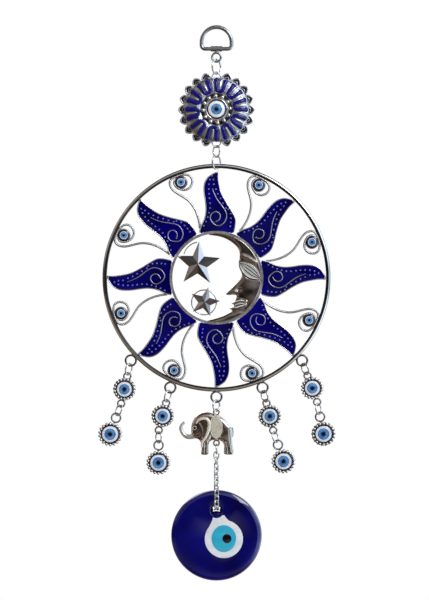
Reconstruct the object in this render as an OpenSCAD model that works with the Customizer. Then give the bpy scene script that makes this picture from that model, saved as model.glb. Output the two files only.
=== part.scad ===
// Evil eye ornament: a hanging charm of silver rings, enamel and glass eyes.
// Units mm. +Z up, the front faces -Y, the origin is the hanging point inside the D-ring.

/* [D-ring hanger] */
// outside width of the D-ring
d_width = 18.9; // [12:0.1:30]
// wire radius of the D-ring
d_wire = 1.1; // [0.8:0.05:2]
// height of the D-ring's centre line
d_height = 12.1; // [8:0.1:20]
// radius of its bottom corners
d_corner = 2.2; // [1:0.1:4]
// wire radius of the soldered eyelet under the bar
d_eye_wire = 0.65; // [0.4:0.05:1]
// centre-line radius of that eyelet
d_eye_r = 2.45; // [1.5:0.05:4]
// depth of the eyelet's centre below the hanging point
d_eye_z = 15.7; // [14:0.1:18]

/* [Jump rings] */
// clearance between two linked wires that hang in each other
hang_gap = 0.12; // [0.05:0.01:0.3]
// wire radius of the large jump rings
ring_wire = 0.5; // [0.3:0.05:0.8]
// centre-line radius of the ring under the hanger
hanger_ring_r = 4.1; // [3:0.1:6]
// centre-line radius of the ring in the medallion's lowest loop
medallion_ring_r = 3.2; // [2.5:0.1:5]
// centre-line radius of the ring round the hoop's wire
hoop_ring_r = 3.95; // [3.5:0.05:6]
// centre-line radius of the ring above the elephant
elephant_ring_r = 3.2; // [2.5:0.1:5]
// centre-line radius of the ring above the chain
chain_ring_r = 2.8; // [2.5:0.1:4]
// turn of the jump rings from the face-on plane
ring_turn = 56; // [50:1:90]

/* [Medallion] */
// outside radius over the filigree
med_r = 21.4; // [15:0.1:30]
// radius of the enamelled flower
flower_r = 17.5; // [12:0.1:25]
// number of petals
petals = 10; // [6:1:16]
// number of filigree scallops, an even number
scallops = 20; // [12:2:32]
// wire radius of a scallop
scallop_wire = 0.45; // [0.3:0.05:0.7]
// centre-line radius of a scallop
scallop_r = 2.0; // [1.5:0.1:3]
// height of the flower's dome in front of its flat back
dome_h = 3.6; // [2:0.1:6]
// number of granules round the centre eye
granules = 12; // [8:1:20]
// radius of a granule
granule_r = 1.3; // [0.8:0.1:2]
// radius of the centre eye's bezel
med_eye_r = 5.7; // [4:0.1:7]

/* [Hoop] */
// centre-line radius of the hoop
hoop_r = 62.25; // [40:0.05:90]
// wire radius of the hoop
hoop_wire = 1.25; // [0.8:0.05:2]
// centre-line radius of the soldered eyelets below the hoop
eyelet_r = 2.9; // [2.2:0.1:4]
// wire radius of those eyelets
eyelet_wire = 0.6; // [0.4:0.05:0.9]
// angle from straight down to the outer droppers' eyelets
outer_angle = 46; // [35:0.5:60]
// angle from straight down to the inner droppers' eyelets
inner_angle = 22.8; // [15:0.5:30]

/* [Sun] */
// number of flame rays
rays = 8; // [6:1:12]
// outside radius of the moon ring
moon_ring_r = 26; // [20:0.1:32]
// width of the moon ring
moon_ring_w = 1.4; // [0.8:0.1:3]
// thickness of the casting
sun_t = 2.4; // [1.5:0.1:4]
// depth of the enamel trays
tray_depth = 0.8; // [0.3:0.1:1.2]
// width of the silver border round the enamel
border_w = 0.9; // [0.5:0.1:1.5]
// wire radius of the eight scrolls
scroll_wire = 0.4; // [0.3:0.05:0.6]
// radius of a scroll's glass eye
scroll_eye_r = 3.4; // [2.5:0.1:4]
// thickness of a scroll's glass eye
scroll_eye_t = 2.8; // [2:0.1:4]

/* [Moon and stars] */
// thickness of the crescent moon
moon_t = 3.0; // [2:0.1:5]
// tip radius of the large star
star_big_r = 12.8; // [8:0.1:16]
// tip radius of the small star
star_small_r = 8.6; // [5:0.1:12]
// height of a star's ridge in front of its back
star_h = 2.6; // [1.5:0.1:4]
// radius of the wire ring behind the small star
star_ring_r = 6.9; // [4:0.1:9]
// wire radius behind the stars
star_wire = 0.4; // [0.3:0.05:0.8]

/* [Droppers] */
// outside radius of the upper charm
upper_r = 6.4; // [5:0.1:9]
// outside radius of the lower charm
lower_r = 6.8; // [5:0.1:9]
// number of teeth round a charm
teeth = 18; // [10:1:30]
// radius of a tooth bead
tooth_r = 0.78; // [0.5:0.01:1.5]
// thickness of a charm's cup
cup_t = 2.6; // [1.5:0.1:4]
// depth of the glass seat
seat_depth = 1.6; // [0.5:0.1:2]
// centre-line radius of the upper jump ring of a dropper
drop_ring_r = 3.25; // [2.5:0.05:5]
// centre-line radius of the lower jump ring of a dropper
drop_ring2_r = 3.1; // [2.5:0.05:5]
// centre-line radius of a charm's small loop
loop_r = 1.9; // [1.5:0.05:3]
// centre-line radius of the lower charm's top loop
loop2_r = 2.5; // [1.5:0.05:3]
// distance from the hoop eyelet to the upper charm's centre
upper_drop = 16.4; // [14:0.1:20]
// distance from the upper charm's lower loop to the lower charm's centre
lower_drop = 18.1; // [15:0.1:24]

/* [Elephant] */
// thickness of the elephant's body
body_t = 5.0; // [3:0.1:8]
// thickness of its trunk
trunk_t = 1.8; // [1:0.1:3]
// height of the saddle cloth and the ears above the body
relief = 0.5; // [0.2:0.1:1]
// centre-line radius of the elephant's two loops
small_loop_r = 1.5; // [1.2:0.05:2.5]

/* [Chain] */
// number of link levels in each strand
levels = 10; // [4:1:16]
// wire radius of the chain
link_wire = 0.42; // [0.25:0.01:0.6]
// outside width of a link
link_w = 3.6; // [2:0.1:5]
// spacing of the links along a strand
pitch = 3.03; // [2:0.05:4]

/* [Glass disc] */
// radius of the disc
disc_r = 25.2; // [18:0.1:35]
// thickness of the disc
disc_t = 5.2; // [3:0.1:8]
// radius of its rounded rim
disc_round = 2.4; // [1:0.1:3]
// radius of the chain's hole
hole_r = 2.6; // [2:0.1:4]
// distance from the disc's centre up to the hole's centre
hole_up = 14; // [8:0.1:20]
// depth of each colour layer of the eye in the disc
layer_t = 0.5; // [0.2:0.1:1]

/* [Hidden] */
$fn = 64;
d_r = d_width / 2 - d_wire;
d_top = d_wire;
d_arch_z = d_top - d_r;
d_bar_z = d_top - d_height;
d_lower = -d_eye_z - d_eye_r;

// Positions down the plumb line, each one from the wire above it.
link_step = ring_wire + hang_gap;
ring1_top = d_lower + d_eye_wire + link_step;
ring1_bot = ring1_top - 2 * hanger_ring_r;
med_z = ring1_bot + ring_wire + scallop_wire + hang_gap + scallop_wire - med_r;
scallop_c = med_r - scallop_wire - scallop_r;
med_low = med_z - scallop_c - scallop_r;
ring_c_wire = 0.45;
ring_c_top = med_low + scallop_wire + ring_c_wire + hang_gap;
ring_c_bot = ring_c_top - 2 * medallion_ring_r;
ring_d_top = ring_c_bot + ring_c_wire + link_step;
ring_d_bot = ring_d_top - 2 * hoop_ring_r;
hoop_top = ring_d_bot + ring_wire + hoop_wire + hang_gap;
hoop_z = hoop_top - hoop_r;
eyelet_at = hoop_r + hoop_wire + eyelet_r - 0.1;

// Central string below the hoop.
ce_z = hoop_z - eyelet_at;
er_top = ce_z - eyelet_r + eyelet_wire + link_step;
er_bot = er_top - 2 * elephant_ring_r;
small_loop_wire = 0.5;
el_loop_z = er_bot + ring_wire + small_loop_wire + hang_gap - small_loop_r;
belly_z = el_loop_z - 17.3;
belly_low = belly_z - small_loop_r;
cr_wire = 0.45;
cr_top = belly_low + small_loop_wire + cr_wire + hang_gap;
cr_bot = cr_top - 2 * chain_ring_r;

// Chain: every link is a stadium of wire, and its neighbours are turned a quarter.
link_r = link_w / 2 - link_wire;
link_long = pitch + 2 * link_wire + hang_gap;
strand_top_y = 1.3;
strand_low_y = disc_t / 2 + link_r * sqrt(0.5) + link_wire + 0.22;
ring_rise = chain_ring_r - sqrt(chain_ring_r * chain_ring_r - strand_top_y * strand_top_y);
chain_top = cr_bot + ring_rise + cr_wire + link_wire + hang_gap + 0.03;
spread_levels = 6;

// The three links in the disc's hole lie askew, so that each passes through the next.
bight_wire = 0.35;
bight_out = 0.544;
bight_drop = 1.62;
bight_lean = 62;
bight_side_turn = 42;
bight_mid_turn = 35;
bight_sink = 0.03;
hole_drop = 2.65;

// Droppers: [angle on the hoop, lean of the upper part, lean of the lower part].
droppers = [
    [outer_angle, 12.6, 19.8],
    [inner_angle, 15.1, 0.8],
    [-inner_angle, -14.0, -18.1],
    [-outer_angle, -20.0, -11.0],
];
eyelet_angles = [outer_angle, inner_angle, 0, -inner_angle, -outer_angle];
dr_top = eyelet_r - eyelet_wire - link_step;
dr_bot = dr_top + 2 * drop_ring_r;
loop_wire = 0.5;
up_loop = dr_bot - ring_wire - loop_wire - hang_gap + loop_r;
low_loop = upper_r + 1.8;
ring2_wire = 0.45;
dr2_top = loop_r - loop_wire - ring2_wire - hang_gap;
dr2_bot = dr2_top + 2 * drop_ring2_r;
lc_loop = dr2_bot - ring2_wire - loop_wire - hang_gap + loop2_r;

silver = [0.78, 0.78, 0.8];
steel = [0.6, 0.6, 0.62];
navy = [0.02, 0.02, 0.35];
glass_blue = [0.03, 0.05, 0.4];
white = [0.95, 0.95, 0.93];
turquoise = [0.16, 0.6, 0.75];
black = [0.03, 0.03, 0.05];

// ---- shared shapes ----

// A round wire ring in the XZ plane, its axis along Y.
module ring(r, wire) {
    rotate([90, 0, 0])
        rotate_extrude()
            translate([r, 0])
                circle(r = wire);
}

// A plate in the XZ plane from y = front to y = back, front being the smaller.
module plate(front, back) {
    translate([0, back, 0])
        rotate([90, 0, 0])
            linear_extrude(back - front)
                children();
}

// A solid turned about the Y axis from a profile of [radius, forward] points.
module turned(profile) {
    rotate([90, 0, 0])
        rotate_extrude()
            polygon(profile);
}

// One point of a Catmull-Rom curve through points p, in segment i at u from 0 to 1.
function cr_point(p, i, u) =
    let (n = len(p) - 1)
    let (a = p[max(i - 1, 0)], b = p[i], c = p[min(i + 1, n)], d = p[min(i + 2, n)])
    0.5 * (2 * b + (c - a) * u + (2 * a - 5 * b + 4 * c - d) * u * u
        + (3 * b - a - 3 * c + d) * u * u * u);

// An open smooth curve through p with s steps in each segment.
function smooth(p, s) = concat(
    [for (i = [0 : len(p) - 2]) for (k = [0 : s - 1]) cr_point(p, i, k / s)],
    [p[len(p) - 1]]
);

function unit(v) = v / norm(v);

// A flat curved wire in the XZ plane with flat ends, swept as an eight-sided tube.
module swept(path, wire) {
    sides = 8;
    n = len(path);
    tangents = [for (i = [0 : n - 1]) unit(path[min(i + 1, n - 1)] - path[max(i - 1, 0)])];
    points = [
        for (i = [0 : n - 1])
            for (k = [0 : sides - 1])
                let (a = 360 * k / sides + 22.5, side = [-tangents[i][1], tangents[i][0]])
                [
                    path[i][0] + side[0] * wire * cos(a),
                    wire * sin(a),
                    path[i][1] + side[1] * wire * cos(a)
                ]
    ];
    faces = concat(
        [for (i = [0 : n - 2]) for (k = [0 : sides - 1])
            let (a = i * sides + k, b = i * sides + (k + 1) % sides)
            [b, a, a + sides, b + sides]],
        [[for (k = [0 : sides - 1]) k]],
        [[for (k = [sides - 1 : -1 : 0]) (n - 1) * sides + k]]
    );
    polyhedron(points, faces);
}

// Hangs its children from a point, leaning by an angle towards -X.
module hang(x, z, lean) {
    translate([x, 0, z])
        rotate([0, lean, 0])
            children();
}

// ---- hanger ----

module hanger_d_ring() {
    flat = d_r - d_corner;
    low = d_bar_z + d_corner;
    color(steel)
    union() {
        translate([0, 0, d_arch_z])
            rotate([90, 0, 0])
                rotate_extrude(angle = 180)
                    translate([d_r, 0])
                        circle(r = d_wire);
        for (s = [-1, 1]) {
            translate([s * d_r, 0, low])
                cylinder(r = d_wire, h = d_arch_z - low);
            translate([s * flat, 0, low])
                rotate([90, s > 0 ? 90 : 180, 0])
                    rotate_extrude(angle = 90)
                        translate([d_corner, 0])
                            circle(r = d_wire);
        }
        translate([-flat, 0, d_bar_z])
            rotate([0, 90, 0])
                cylinder(r = d_wire, h = 2 * flat);
        translate([-3.1, 0, d_bar_z])
            rotate([0, 90, 0])
                cylinder(r = d_wire + 0.45, h = 6.2);
        translate([0, 0, d_bar_z - 2.2])
            cylinder(r = 0.9, h = 2);
        translate([0, 0, -d_eye_z])
            ring(d_eye_r, d_eye_wire);
    }
}

module hanger_jump_ring() {
    color(silver)
        translate([0, 0, ring1_top - hanger_ring_r])
            rotate([0, 0, ring_turn])
                ring(hanger_ring_r, ring_wire);
}

// ---- medallion ----

module medallion_filigree() {
    color(silver)
    translate([0, 0, med_z])
    union() {
        ring(scallop_c - scallop_r + 0.3, 0.6);
        for (i = [0 : scallops - 1])
            rotate([0, i * 360 / scallops, 0])
                translate([0, 0, scallop_c])
                    ring(scallop_r, scallop_wire);
    }
}

// The flower's revolved dome: [radius, forward] from its flat back.
function dome_profile(drop) = [
    [0, 0],
    [flower_r - drop, 0],
    [flower_r - drop, 0.8],
    [flower_r - 1.2 - drop, 2.1 - drop],
    [flower_r - 4.0, dome_h - 0.5 - drop],
    [flower_r - 6.6, dome_h - drop],
    [8.9, dome_h - 0.9 - drop],
    [8.9, 1.0],
    [0, 1.0],
];

// One U-shaped cell of the enamel, pointing up.
module petal_cell() {
    difference() {
        polygon([
            [-1.3, 9.6], [1.3, 9.6], [2.2, 10.6], [3.3, 13.6], [4.0, 15.6], [3.7, 16.5],
            [2.6, 16.8], [-2.6, 16.8], [-3.7, 16.5], [-4.0, 15.6], [-3.3, 13.6], [-2.2, 10.6],
        ]);
        polygon([
            [-0.8, 11.4], [0.8, 11.4], [1.1, 13.5], [1.5, 15.6], [1.7, 17.2],
            [-1.7, 17.2], [-1.5, 15.6], [-1.1, 13.5],
        ]);
    }
}

module petal_cells(front, back) {
    for (i = [0 : petals - 1])
        rotate([0, i * 360 / petals + 9, 0])
            plate(front, back)
                petal_cell();
}

module medallion_flower() {
    color(silver)
    translate([0, -0.5, med_z])
    difference() {
        turned(dome_profile(0));
        petal_cells(-8, -1.0);
    }
}

module medallion_enamel() {
    color(navy)
    translate([0, -0.5, med_z])
    intersection() {
        turned(dome_profile(0.15));
        petal_cells(-8, -1.0);
    }
}

module medallion_collar() {
    color(silver)
    translate([0, -1.5, med_z])
    union() {
        turned([[med_eye_r + 0.1, 0], [8.4, 0], [8.4, 0.9], [6.6, 2.3], [med_eye_r + 0.1, 2.3]]);
        for (i = [0 : granules - 1])
            rotate([0, i * 360 / granules - 4, 0])
                translate([0, -1.6, 7.5])
                    sphere(r = granule_r);
    }
}

module medallion_eye() {
    color(white)
    translate([0, -1.5, med_z])
        turned([[0, 0], [med_eye_r, 0], [med_eye_r, 2.2], [5.0, 2.9], [4.0, 3.4], [2.6, 3.8],
            [1.2, 4.0], [0, 4.05]]);
}

module medallion_ring() {
    color(silver)
        translate([0, 0, ring_c_top - medallion_ring_r])
            rotate([0, 0, -ring_turn])
                ring(medallion_ring_r, ring_c_wire);
}

module hoop_ring() {
    color(silver)
        translate([0, 0, ring_d_top - hoop_ring_r])
            rotate([0, 0, ring_turn])
                ring(hoop_ring_r, ring_wire);
}

// ---- hoop and sun ----

module hoop() {
    color(silver)
    translate([0, 0, hoop_z])
    union() {
        ring(hoop_r, hoop_wire);
        for (a = eyelet_angles)
            rotate([0, a, 0])
                translate([0, 0, -eyelet_at])
                    ring(eyelet_r, eyelet_wire);
    }
}

// A ray's centre line and half width: [distance out, sideways, half width].
ray_shape = [
    [25.2, 0.0, 9.75], [28.6, 0.8, 9.75], [33.0, 1.85, 8.8], [37.6, 1.1, 7.2],
    [41.9, -0.35, 6.0], [47.7, -2.2, 4.95], [53.4, -2.75, 4.25], [57.4, -2.1, 3.1],
    [59.8, -0.5, 1.6], [61.3, 0.7, 0.35],
];
ray_curve = smooth(ray_shape, 3);

// The top ray's outer part is drawn in, so that the ring round the hoop can turn.
ray_end = 61.3;
top_ray_end = hoop_r - 3.1;
drawn_from = 44;
drawn_by = (top_ray_end - drawn_from) / (ray_end - drawn_from);
function drawn_in(outline) =
    [for (p = outline) [p[0], p[1] < drawn_from ? p[1] : drawn_from + (p[1] - drawn_from) * drawn_by]];

// The ray's outline with its half width narrowed by inset, between two distances out.
function ray_outline(inset, low, high) =
    let (kept = [for (p = ray_curve) if (p[0] > low && p[0] < high && p[2] > inset + 0.2) p])
    concat(
        [for (p = kept) [p[1] - p[2] + inset, p[0]]],
        [for (i = [len(kept) - 1 : -1 : 0]) [kept[i][1] + kept[i][2] - inset, kept[i][0]]]
    );

// The rays are numbered clockwise from the top one.
module ray_plan(i) {
    outline = ray_outline(0, 0, ray_end + 1);
    polygon(i == 0 ? drawn_in(outline) : outline);
}

module ray_tray(i) {
    outline = ray_outline(border_w + 0.15, moon_ring_r + 0.6, 59);
    polygon(i == 0 ? drawn_in(outline) : outline);
}

module sun_casting() {
    color(silver)
    translate([0, 0, hoop_z])
    difference() {
        union() {
            turned([
                [moon_ring_r - moon_ring_w, -sun_t / 2 - 0.3],
                [moon_ring_r, -sun_t / 2 - 0.3],
                [moon_ring_r, sun_t / 2 + 0.3],
                [moon_ring_r - moon_ring_w, sun_t / 2 + 0.3],
            ]);
            for (i = [0 : rays - 1])
                rotate([0, i * 360 / rays, 0])
                    plate(-sun_t / 2, sun_t / 2)
                        ray_plan(i);
        }
        for (i = [0 : rays - 1])
            rotate([0, i * 360 / rays, 0])
                plate(-sun_t / 2 - 1, -sun_t / 2 + tray_depth)
                    ray_tray(i);
    }
}

module ray_enamel() {
    color(navy)
    translate([0, 0, hoop_z])
        for (i = [0 : rays - 1])
            rotate([0, i * 360 / rays, 0])
                plate(-sun_t / 2 + 0.15, -sun_t / 2 + tray_depth)
                    ray_tray(i);
}

// The moon's profile, from the upper horn by the brow, nose, lips and chin to the lower horn.
moon_face = [
    [-4.5, 23.9], [1.4, 23.0], [5.1, 21.8], [8.8, 19.6], [11.8, 16.7], [12.9, 14.0],
    [12.9, 11.1], [12.4, 8.4], [12.8, 5.2], [14.2, 1.9], [13.0, -0.9], [9.2, -4.9],
    [5.4, -8.6], [6.4, -9.6], [11.0, -9.6], [10.4, -12.2], [8.3, -14.2], [10.0, -15.4],
    [7.2, -17.0], [8.8, -18.4], [6.4, -19.8], [3.6, -21.2], [-0.8, -22.6], [-5.0, -23.7],
];

module crescent_moon() {
    outer = moon_ring_r - moon_ring_w + 0.1;
    color(silver)
    translate([0, 0, hoop_z])
        plate(-moon_t / 2, moon_t / 2)
            polygon(concat(
                smooth(moon_face, 3),
                [for (a = [-101 : 4 : 99]) outer * [cos(a), sin(a)]]
            ));
}

// A five-pointed star with a ridge down each arm and a flat back.
module star(tip, inner, height) {
    outline = [for (i = [0 : 9])
        let (r = i % 2 == 0 ? tip : inner, a = 36 * i)
        [r * sin(a), 0.6, r * cos(a)]];
    rim = [for (p = outline) [p[0], 0, p[2]]];
    points = concat(outline, rim, [[0, -height, 0]]);
    faces = concat(
        [[for (i = [0 : 9]) i]],
        [for (i = [0 : 9]) [(i + 1) % 10, i, 10 + i, 10 + (i + 1) % 10]],
        [for (i = [0 : 9]) [10 + (i + 1) % 10, 10 + i, 20]]
    );
    polyhedron(points, [for (f = faces) [for (k = [len(f) - 1 : -1 : 0]) f[k]]]);
}

big_star_at = [-10.3, 7.7];
small_star_at = [-6.6, -13.5];

module large_star() {
    color(silver)
        translate([big_star_at[0], 0, hoop_z + big_star_at[1]])
            rotate([0, 3, 0])
                star(star_big_r, star_big_r * 0.42, star_h);
}

module small_star() {
    color(silver)
        translate([small_star_at[0], -0.4, hoop_z + small_star_at[1]])
            rotate([0, 14, 0])
                star(star_small_r, star_small_r * 0.42, star_h * 0.8);
}

// The wire ring that carries the small star, and the short arc behind the large one.
module star_wires() {
    color(silver)
    translate([0, 0, hoop_z])
    union() {
        translate([small_star_at[0] - 0.3, 0.55, small_star_at[1] - 0.2])
            ring(star_ring_r, star_wire);
        translate([big_star_at[0] + 1.1, 0.8, big_star_at[1] + 3.2])
            rotate([90, 0, 0])
                rotate([0, 0, 100])
                    rotate_extrude(angle = 66)
                        translate([9.1, 0])
                            circle(r = star_wire);
    }
}

// A scroll: from the foot between two rays, in an S to the hoop, then round the glass eye.
scroll_path = [
    [12.9, 26.0], [15.0, 28.6], [17.2, 32.4], [18.7, 36.4], [19.3, 40.7], [18.9, 44.1],
    [17.9, 48.1], [17.4, 51.2], [17.8, 53.9], [19.2, 56.0], [21.3, 56.6], [24.3, 55.6],
    [27.3, 53.9], [29.4, 51.2], [29.2, 48.6], [27.4, 46.7], [24.8, 46.0], [22.2, 47.0],
    [20.5, 49.3], [19.9, 51.6], [20.5, 53.8], [22.2, 55.0],
];
scroll_eye_at = [23.6, 51.6];

module scroll_wires() {
    color(silver)
    translate([0, 0, hoop_z])
        for (i = [0 : rays - 1])
            rotate([0, i * 360 / rays, 0])
                swept(smooth(scroll_path, 2), scroll_wire);
}

module scroll_eyes() {
    half = scroll_eye_t / 2;
    color(white)
    translate([0, 0, hoop_z])
        for (i = [0 : rays - 1])
            rotate([0, i * 360 / rays, 0])
                translate([scroll_eye_at[0], 0, scroll_eye_at[1]])
                    turned([
                        [0, -half], [scroll_eye_r - 0.9, -half], [scroll_eye_r, -half + 0.8],
                        [scroll_eye_r, half - 0.9], [scroll_eye_r - 0.8, half - 0.25], [0, half],
                    ]);
}

// ---- droppers ----

// Places its children at dropper i's hoop eyelet.
module at_eyelet(i) {
    a = droppers[i][0];
    hang(-eyelet_at * sin(a), hoop_z - eyelet_at * cos(a), droppers[i][1])
        children();
}

// Places its children at the lower loop of dropper i's upper charm.
module at_lower_loop(i) {
    at_eyelet(i)
        translate([0, 0, -upper_drop - low_loop])
            rotate([0, droppers[i][2] - droppers[i][1], 0])
                children();
}

// A round toothed cup with an open seat in its front.
module cup(r) {
    union() {
        turned([
            [0, -cup_t / 2], [r - tooth_r - 0.1, -cup_t / 2], [r - tooth_r - 0.1, cup_t / 2],
            [r - 1.6, cup_t / 2], [r - 1.6, cup_t / 2 - seat_depth], [0, cup_t / 2 - seat_depth],
        ]);
        for (i = [0 : teeth - 1])
            rotate([0, i * 360 / teeth, 0])
                translate([0, 0, r - tooth_r])
                    sphere(r = tooth_r);
    }
}

// The glass eye in a cup, its front a low dome.
module cup_eye(r) {
    back = cup_t / 2 - seat_depth;
    g = r - 1.65;
    turned([
        [0, back], [g, back], [g, back + seat_depth - 0.2], [g * 0.8, back + seat_depth + 0.5],
        [g * 0.45, back + seat_depth + 0.95], [0, back + seat_depth + 1.1],
    ]);
}

module drop_ring(i) {
    color(silver)
        at_eyelet(i)
            translate([0, 0, -dr_top - drop_ring_r])
                rotate([0, 0, i < 2 ? ring_turn + 4 : -ring_turn - 4])
                    ring(drop_ring_r, ring_wire);
}

module drop_upper(i) {
    color(silver)
    at_eyelet(i)
    union() {
        translate([0, 0, -upper_drop])
            cup(upper_r);
        translate([0, 0, -up_loop])
            ring(loop_r, loop_wire);
        translate([0, 0, -upper_drop - low_loop])
            ring(loop_r, loop_wire);
    }
}

module drop_upper_eye(i) {
    color(glass_blue)
        at_eyelet(i)
            translate([0, 0, -upper_drop])
                cup_eye(upper_r);
}

module drop_ring2(i) {
    color(silver)
        at_lower_loop(i)
            translate([0, 0, -dr2_top - drop_ring2_r])
                rotate([0, 0, i < 2 ? -ring_turn - 4 : ring_turn + 4])
                    ring(drop_ring2_r, ring2_wire);
}

module drop_lower(i) {
    color(silver)
    at_lower_loop(i)
    union() {
        translate([0, 0, -lower_drop])
            cup(lower_r);
        translate([0, 0, -lc_loop])
            ring(loop2_r, loop_wire);
    }
}

module drop_lower_eye(i) {
    color(glass_blue)
        at_lower_loop(i)
            translate([0, 0, -lower_drop])
                cup_eye(lower_r);
}

// ---- elephant ----

// Outlines from the elephant's top loop: the body, then the raised trunk.
elephant_body = [
    [-13.6, -6.2], [-12.1, -3.1], [-10.1, -1.2], [-7.2, 0.0], [-4.1, -0.1], [-1.8, -0.8],
    [0.9, -1.5], [2.4, -2.4], [4.8, -4.1], [7.2, -6.5], [8.7, -8.3], [8.3, -9.9],
    [8.5, -12.8], [8.8, -17.6], [9.6, -22.2], [9.0, -23.6], [6.8, -23.8], [4.4, -23.5],
    [4.1, -22.0], [4.3, -19.1], [3.4, -16.8], [1.4, -15.7], [-1.0, -15.6], [-3.1, -16.0],
    [-4.1, -17.6], [-4.5, -21.0], [-4.2, -22.8], [-5.2, -23.8], [-8.0, -23.8], [-8.6, -22.7],
    [-8.2, -21.0], [-8.5, -18.1], [-9.3, -15.9], [-11.0, -14.8], [-12.8, -14.6],
    [-13.9, -12.6], [-14.0, -10.4], [-14.0, -8.2], [-13.6, -6.2],
];
elephant_trunk = [
    [-12.2, -14.6], [-14.6, -15.2], [-16.7, -14.5], [-18.8, -13.1], [-20.2, -11.0],
    [-20.5, -8.8], [-19.8, -6.9], [-18.0, -5.2], [-17.4, -5.7], [-18.6, -7.2], [-19.1, -8.9],
    [-18.7, -10.6], [-17.7, -12.0], [-16.2, -12.7], [-14.9, -12.4], [-13.6, -11.2],
    [-12.0, -11.4],
];
elephant_ear = [
    [-11.3, -6.3], [-8.4, -3.9], [-5.3, -4.1], [-3.7, -6.3], [-4.4, -10.0], [-5.9, -13.6],
    [-7.8, -16.0], [-9.1, -14.2], [-8.6, -10.6], [-9.6, -7.6], [-11.3, -6.3],
];

module elephant() {
    half = body_t / 2;
    color(silver)
    translate([0, 0, el_loop_z])
    union() {
        plate(-half, half)
            polygon(smooth(elephant_body, 2));
        plate(-trunk_t / 2, trunk_t / 2)
            polygon(smooth(elephant_trunk, 2));
        plate(-half - relief, half + relief)
            polygon(smooth(elephant_ear, 2));
        intersection() {
            plate(-half - relief, half + relief)
                translate([-0.2, -8.2])
                    scale([1, 1.75])
                        circle(r = 3.6);
            plate(-half - 1, half + 1)
                polygon([[-5, -1.6], [5, -3.2], [5, -15], [-5, -15]]);
        }
        ring(small_loop_r, small_loop_wire);
        translate([0, 0, belly_z - el_loop_z])
            ring(small_loop_r, small_loop_wire);
    }
}

module elephant_ring() {
    color(silver)
        translate([0, 0, er_top - elephant_ring_r])
            rotate([0, 0, ring_turn])
                ring(elephant_ring_r, ring_wire);
}

module chain_ring() {
    color(silver)
        translate([0, 0, cr_top - chain_ring_r])
            rotate([0, 0, 90])
                ring(chain_ring_r, cr_wire);
}

// ---- chain ----

// One link in the XZ plane: its top wire's centre at the origin, hanging down.
module link(wire = link_wire) {
    straight = link_long - 2 * link_r;
    union() {
        for (s = [-1, 1])
            translate([s * link_r, 0, -link_r - straight])
                cylinder(r = wire, h = straight);
        translate([0, 0, -link_r])
            rotate([90, 0, 0])
                rotate_extrude(angle = 180)
                    translate([link_r, 0])
                        circle(r = wire);
        translate([0, 0, -link_r - straight])
            rotate([90, 180, 0])
                rotate_extrude(angle = 180)
                    translate([link_r, 0])
                        circle(r = wire);
    }
}

// Distance of a strand from the middle at level k.
function strand_y(k) = strand_top_y
    + (strand_low_y - strand_top_y) * min(1, k / spread_levels);

// A link's lean away from the middle, and its height below the first one.
function strand_lean(k) = asin((strand_y(k + 1) - strand_y(k)) / pitch);
function strand_z(k) = k == 0 ? chain_top : strand_z(k - 1) - pitch * cos(strand_lean(k - 1));

// Turn of a link about its strand: neighbours cross, and all but the first lie diagonally.
function link_turn(k) = 45 * min(1, k / 2) + (k % 2 == 0 ? 0 : 90);

module chain_level(k) {
    color(silver)
        for (s = [-1, 1])
            translate([0, s * strand_y(k), strand_z(k)])
                rotate([s * strand_lean(k), 0, 0])
                    rotate([0, 0, s * link_turn(k)])
                        link();
}

bight_z = strand_z(levels);

// The three links that pass through the disc's hole and join the two strands.
module chain_bight() {
    color(silver) {
        for (s = [-1, 1])
            translate([0, s * (strand_low_y + bight_out), bight_z - bight_sink])
                rotate([-s * bight_lean, 0, 0])
                    rotate([0, 0, s * bight_side_turn])
                        link(bight_wire);
        translate([0, -link_long / 2, bight_z - bight_drop])
            rotate([90, 0, 0])
                rotate([0, 0, bight_mid_turn])
                    link(bight_wire);
    }
}

// The hole's roof rests just above the middle link's upper edges.
hole_z = bight_z - hole_drop;
disc_z = hole_z - hole_up;

// ---- glass disc ----

white_at = [4.1, -1.8];
iris_at = [4.1, -1.6];
pupil_at = [5.8, -1.6];

// Outline of the white drop: a round body with a neck up to the chain's hole.
white_r = 10.6;
white_neck = [[-3.1, 7.0], [-2.4, 8.4], [-1.7, 11.4], [4.3, 11.4], [5.6, 9.6]];

module white_drop() {
    difference() {
        polygon(concat(
            [for (a = [75 : -6 : -219]) white_at + white_r * [cos(a), sin(a)]],
            white_neck
        ));
        translate([0, hole_up])
            circle(r = hole_r + 1.6);
    }
}

module iris_shape() {
    translate(iris_at)
        scale([0.91, 1])
            circle(r = 7.5);
}

module pupil_shape() {
    translate(pupil_at)
        circle(r = 2.5);
}

module glass_disc() {
    half = disc_t / 2;
    color(glass_blue)
    translate([0, 0, disc_z])
    difference() {
        turned([
            [0, -half], [disc_r - disc_round, -half], [disc_r - 0.7, -half + 0.7],
            [disc_r, -half + disc_round], [disc_r, half - disc_round],
            [disc_r - 0.7, half - 0.7], [disc_r - disc_round, half], [0, half],
        ]);
        translate([0, 10, hole_up])
            rotate([90, 0, 0])
                cylinder(r = hole_r, h = 20);
        for (s = [-1, 1])
            translate([0, s * (half - 1.15), hole_up])
                rotate([-s * 90, 0, 0])
                    cylinder(r1 = hole_r, r2 = hole_r + 1.5, h = 1.5);
        plate(-half - 1, -half + layer_t)
            white_drop();
    }
}

module eye_white() {
    half = disc_t / 2;
    color(white)
    translate([0, 0, disc_z])
    difference() {
        plate(-half - 0.1, -half + layer_t)
            white_drop();
        plate(-half - 1, -half + layer_t - 0.25)
            iris_shape();
    }
}

module eye_iris() {
    half = disc_t / 2;
    color(turquoise)
    translate([0, 0, disc_z])
    difference() {
        plate(-half - 0.2, -half + layer_t - 0.25)
            iris_shape();
        plate(-half - 1, -half + layer_t - 0.5)
            pupil_shape();
    }
}

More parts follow.
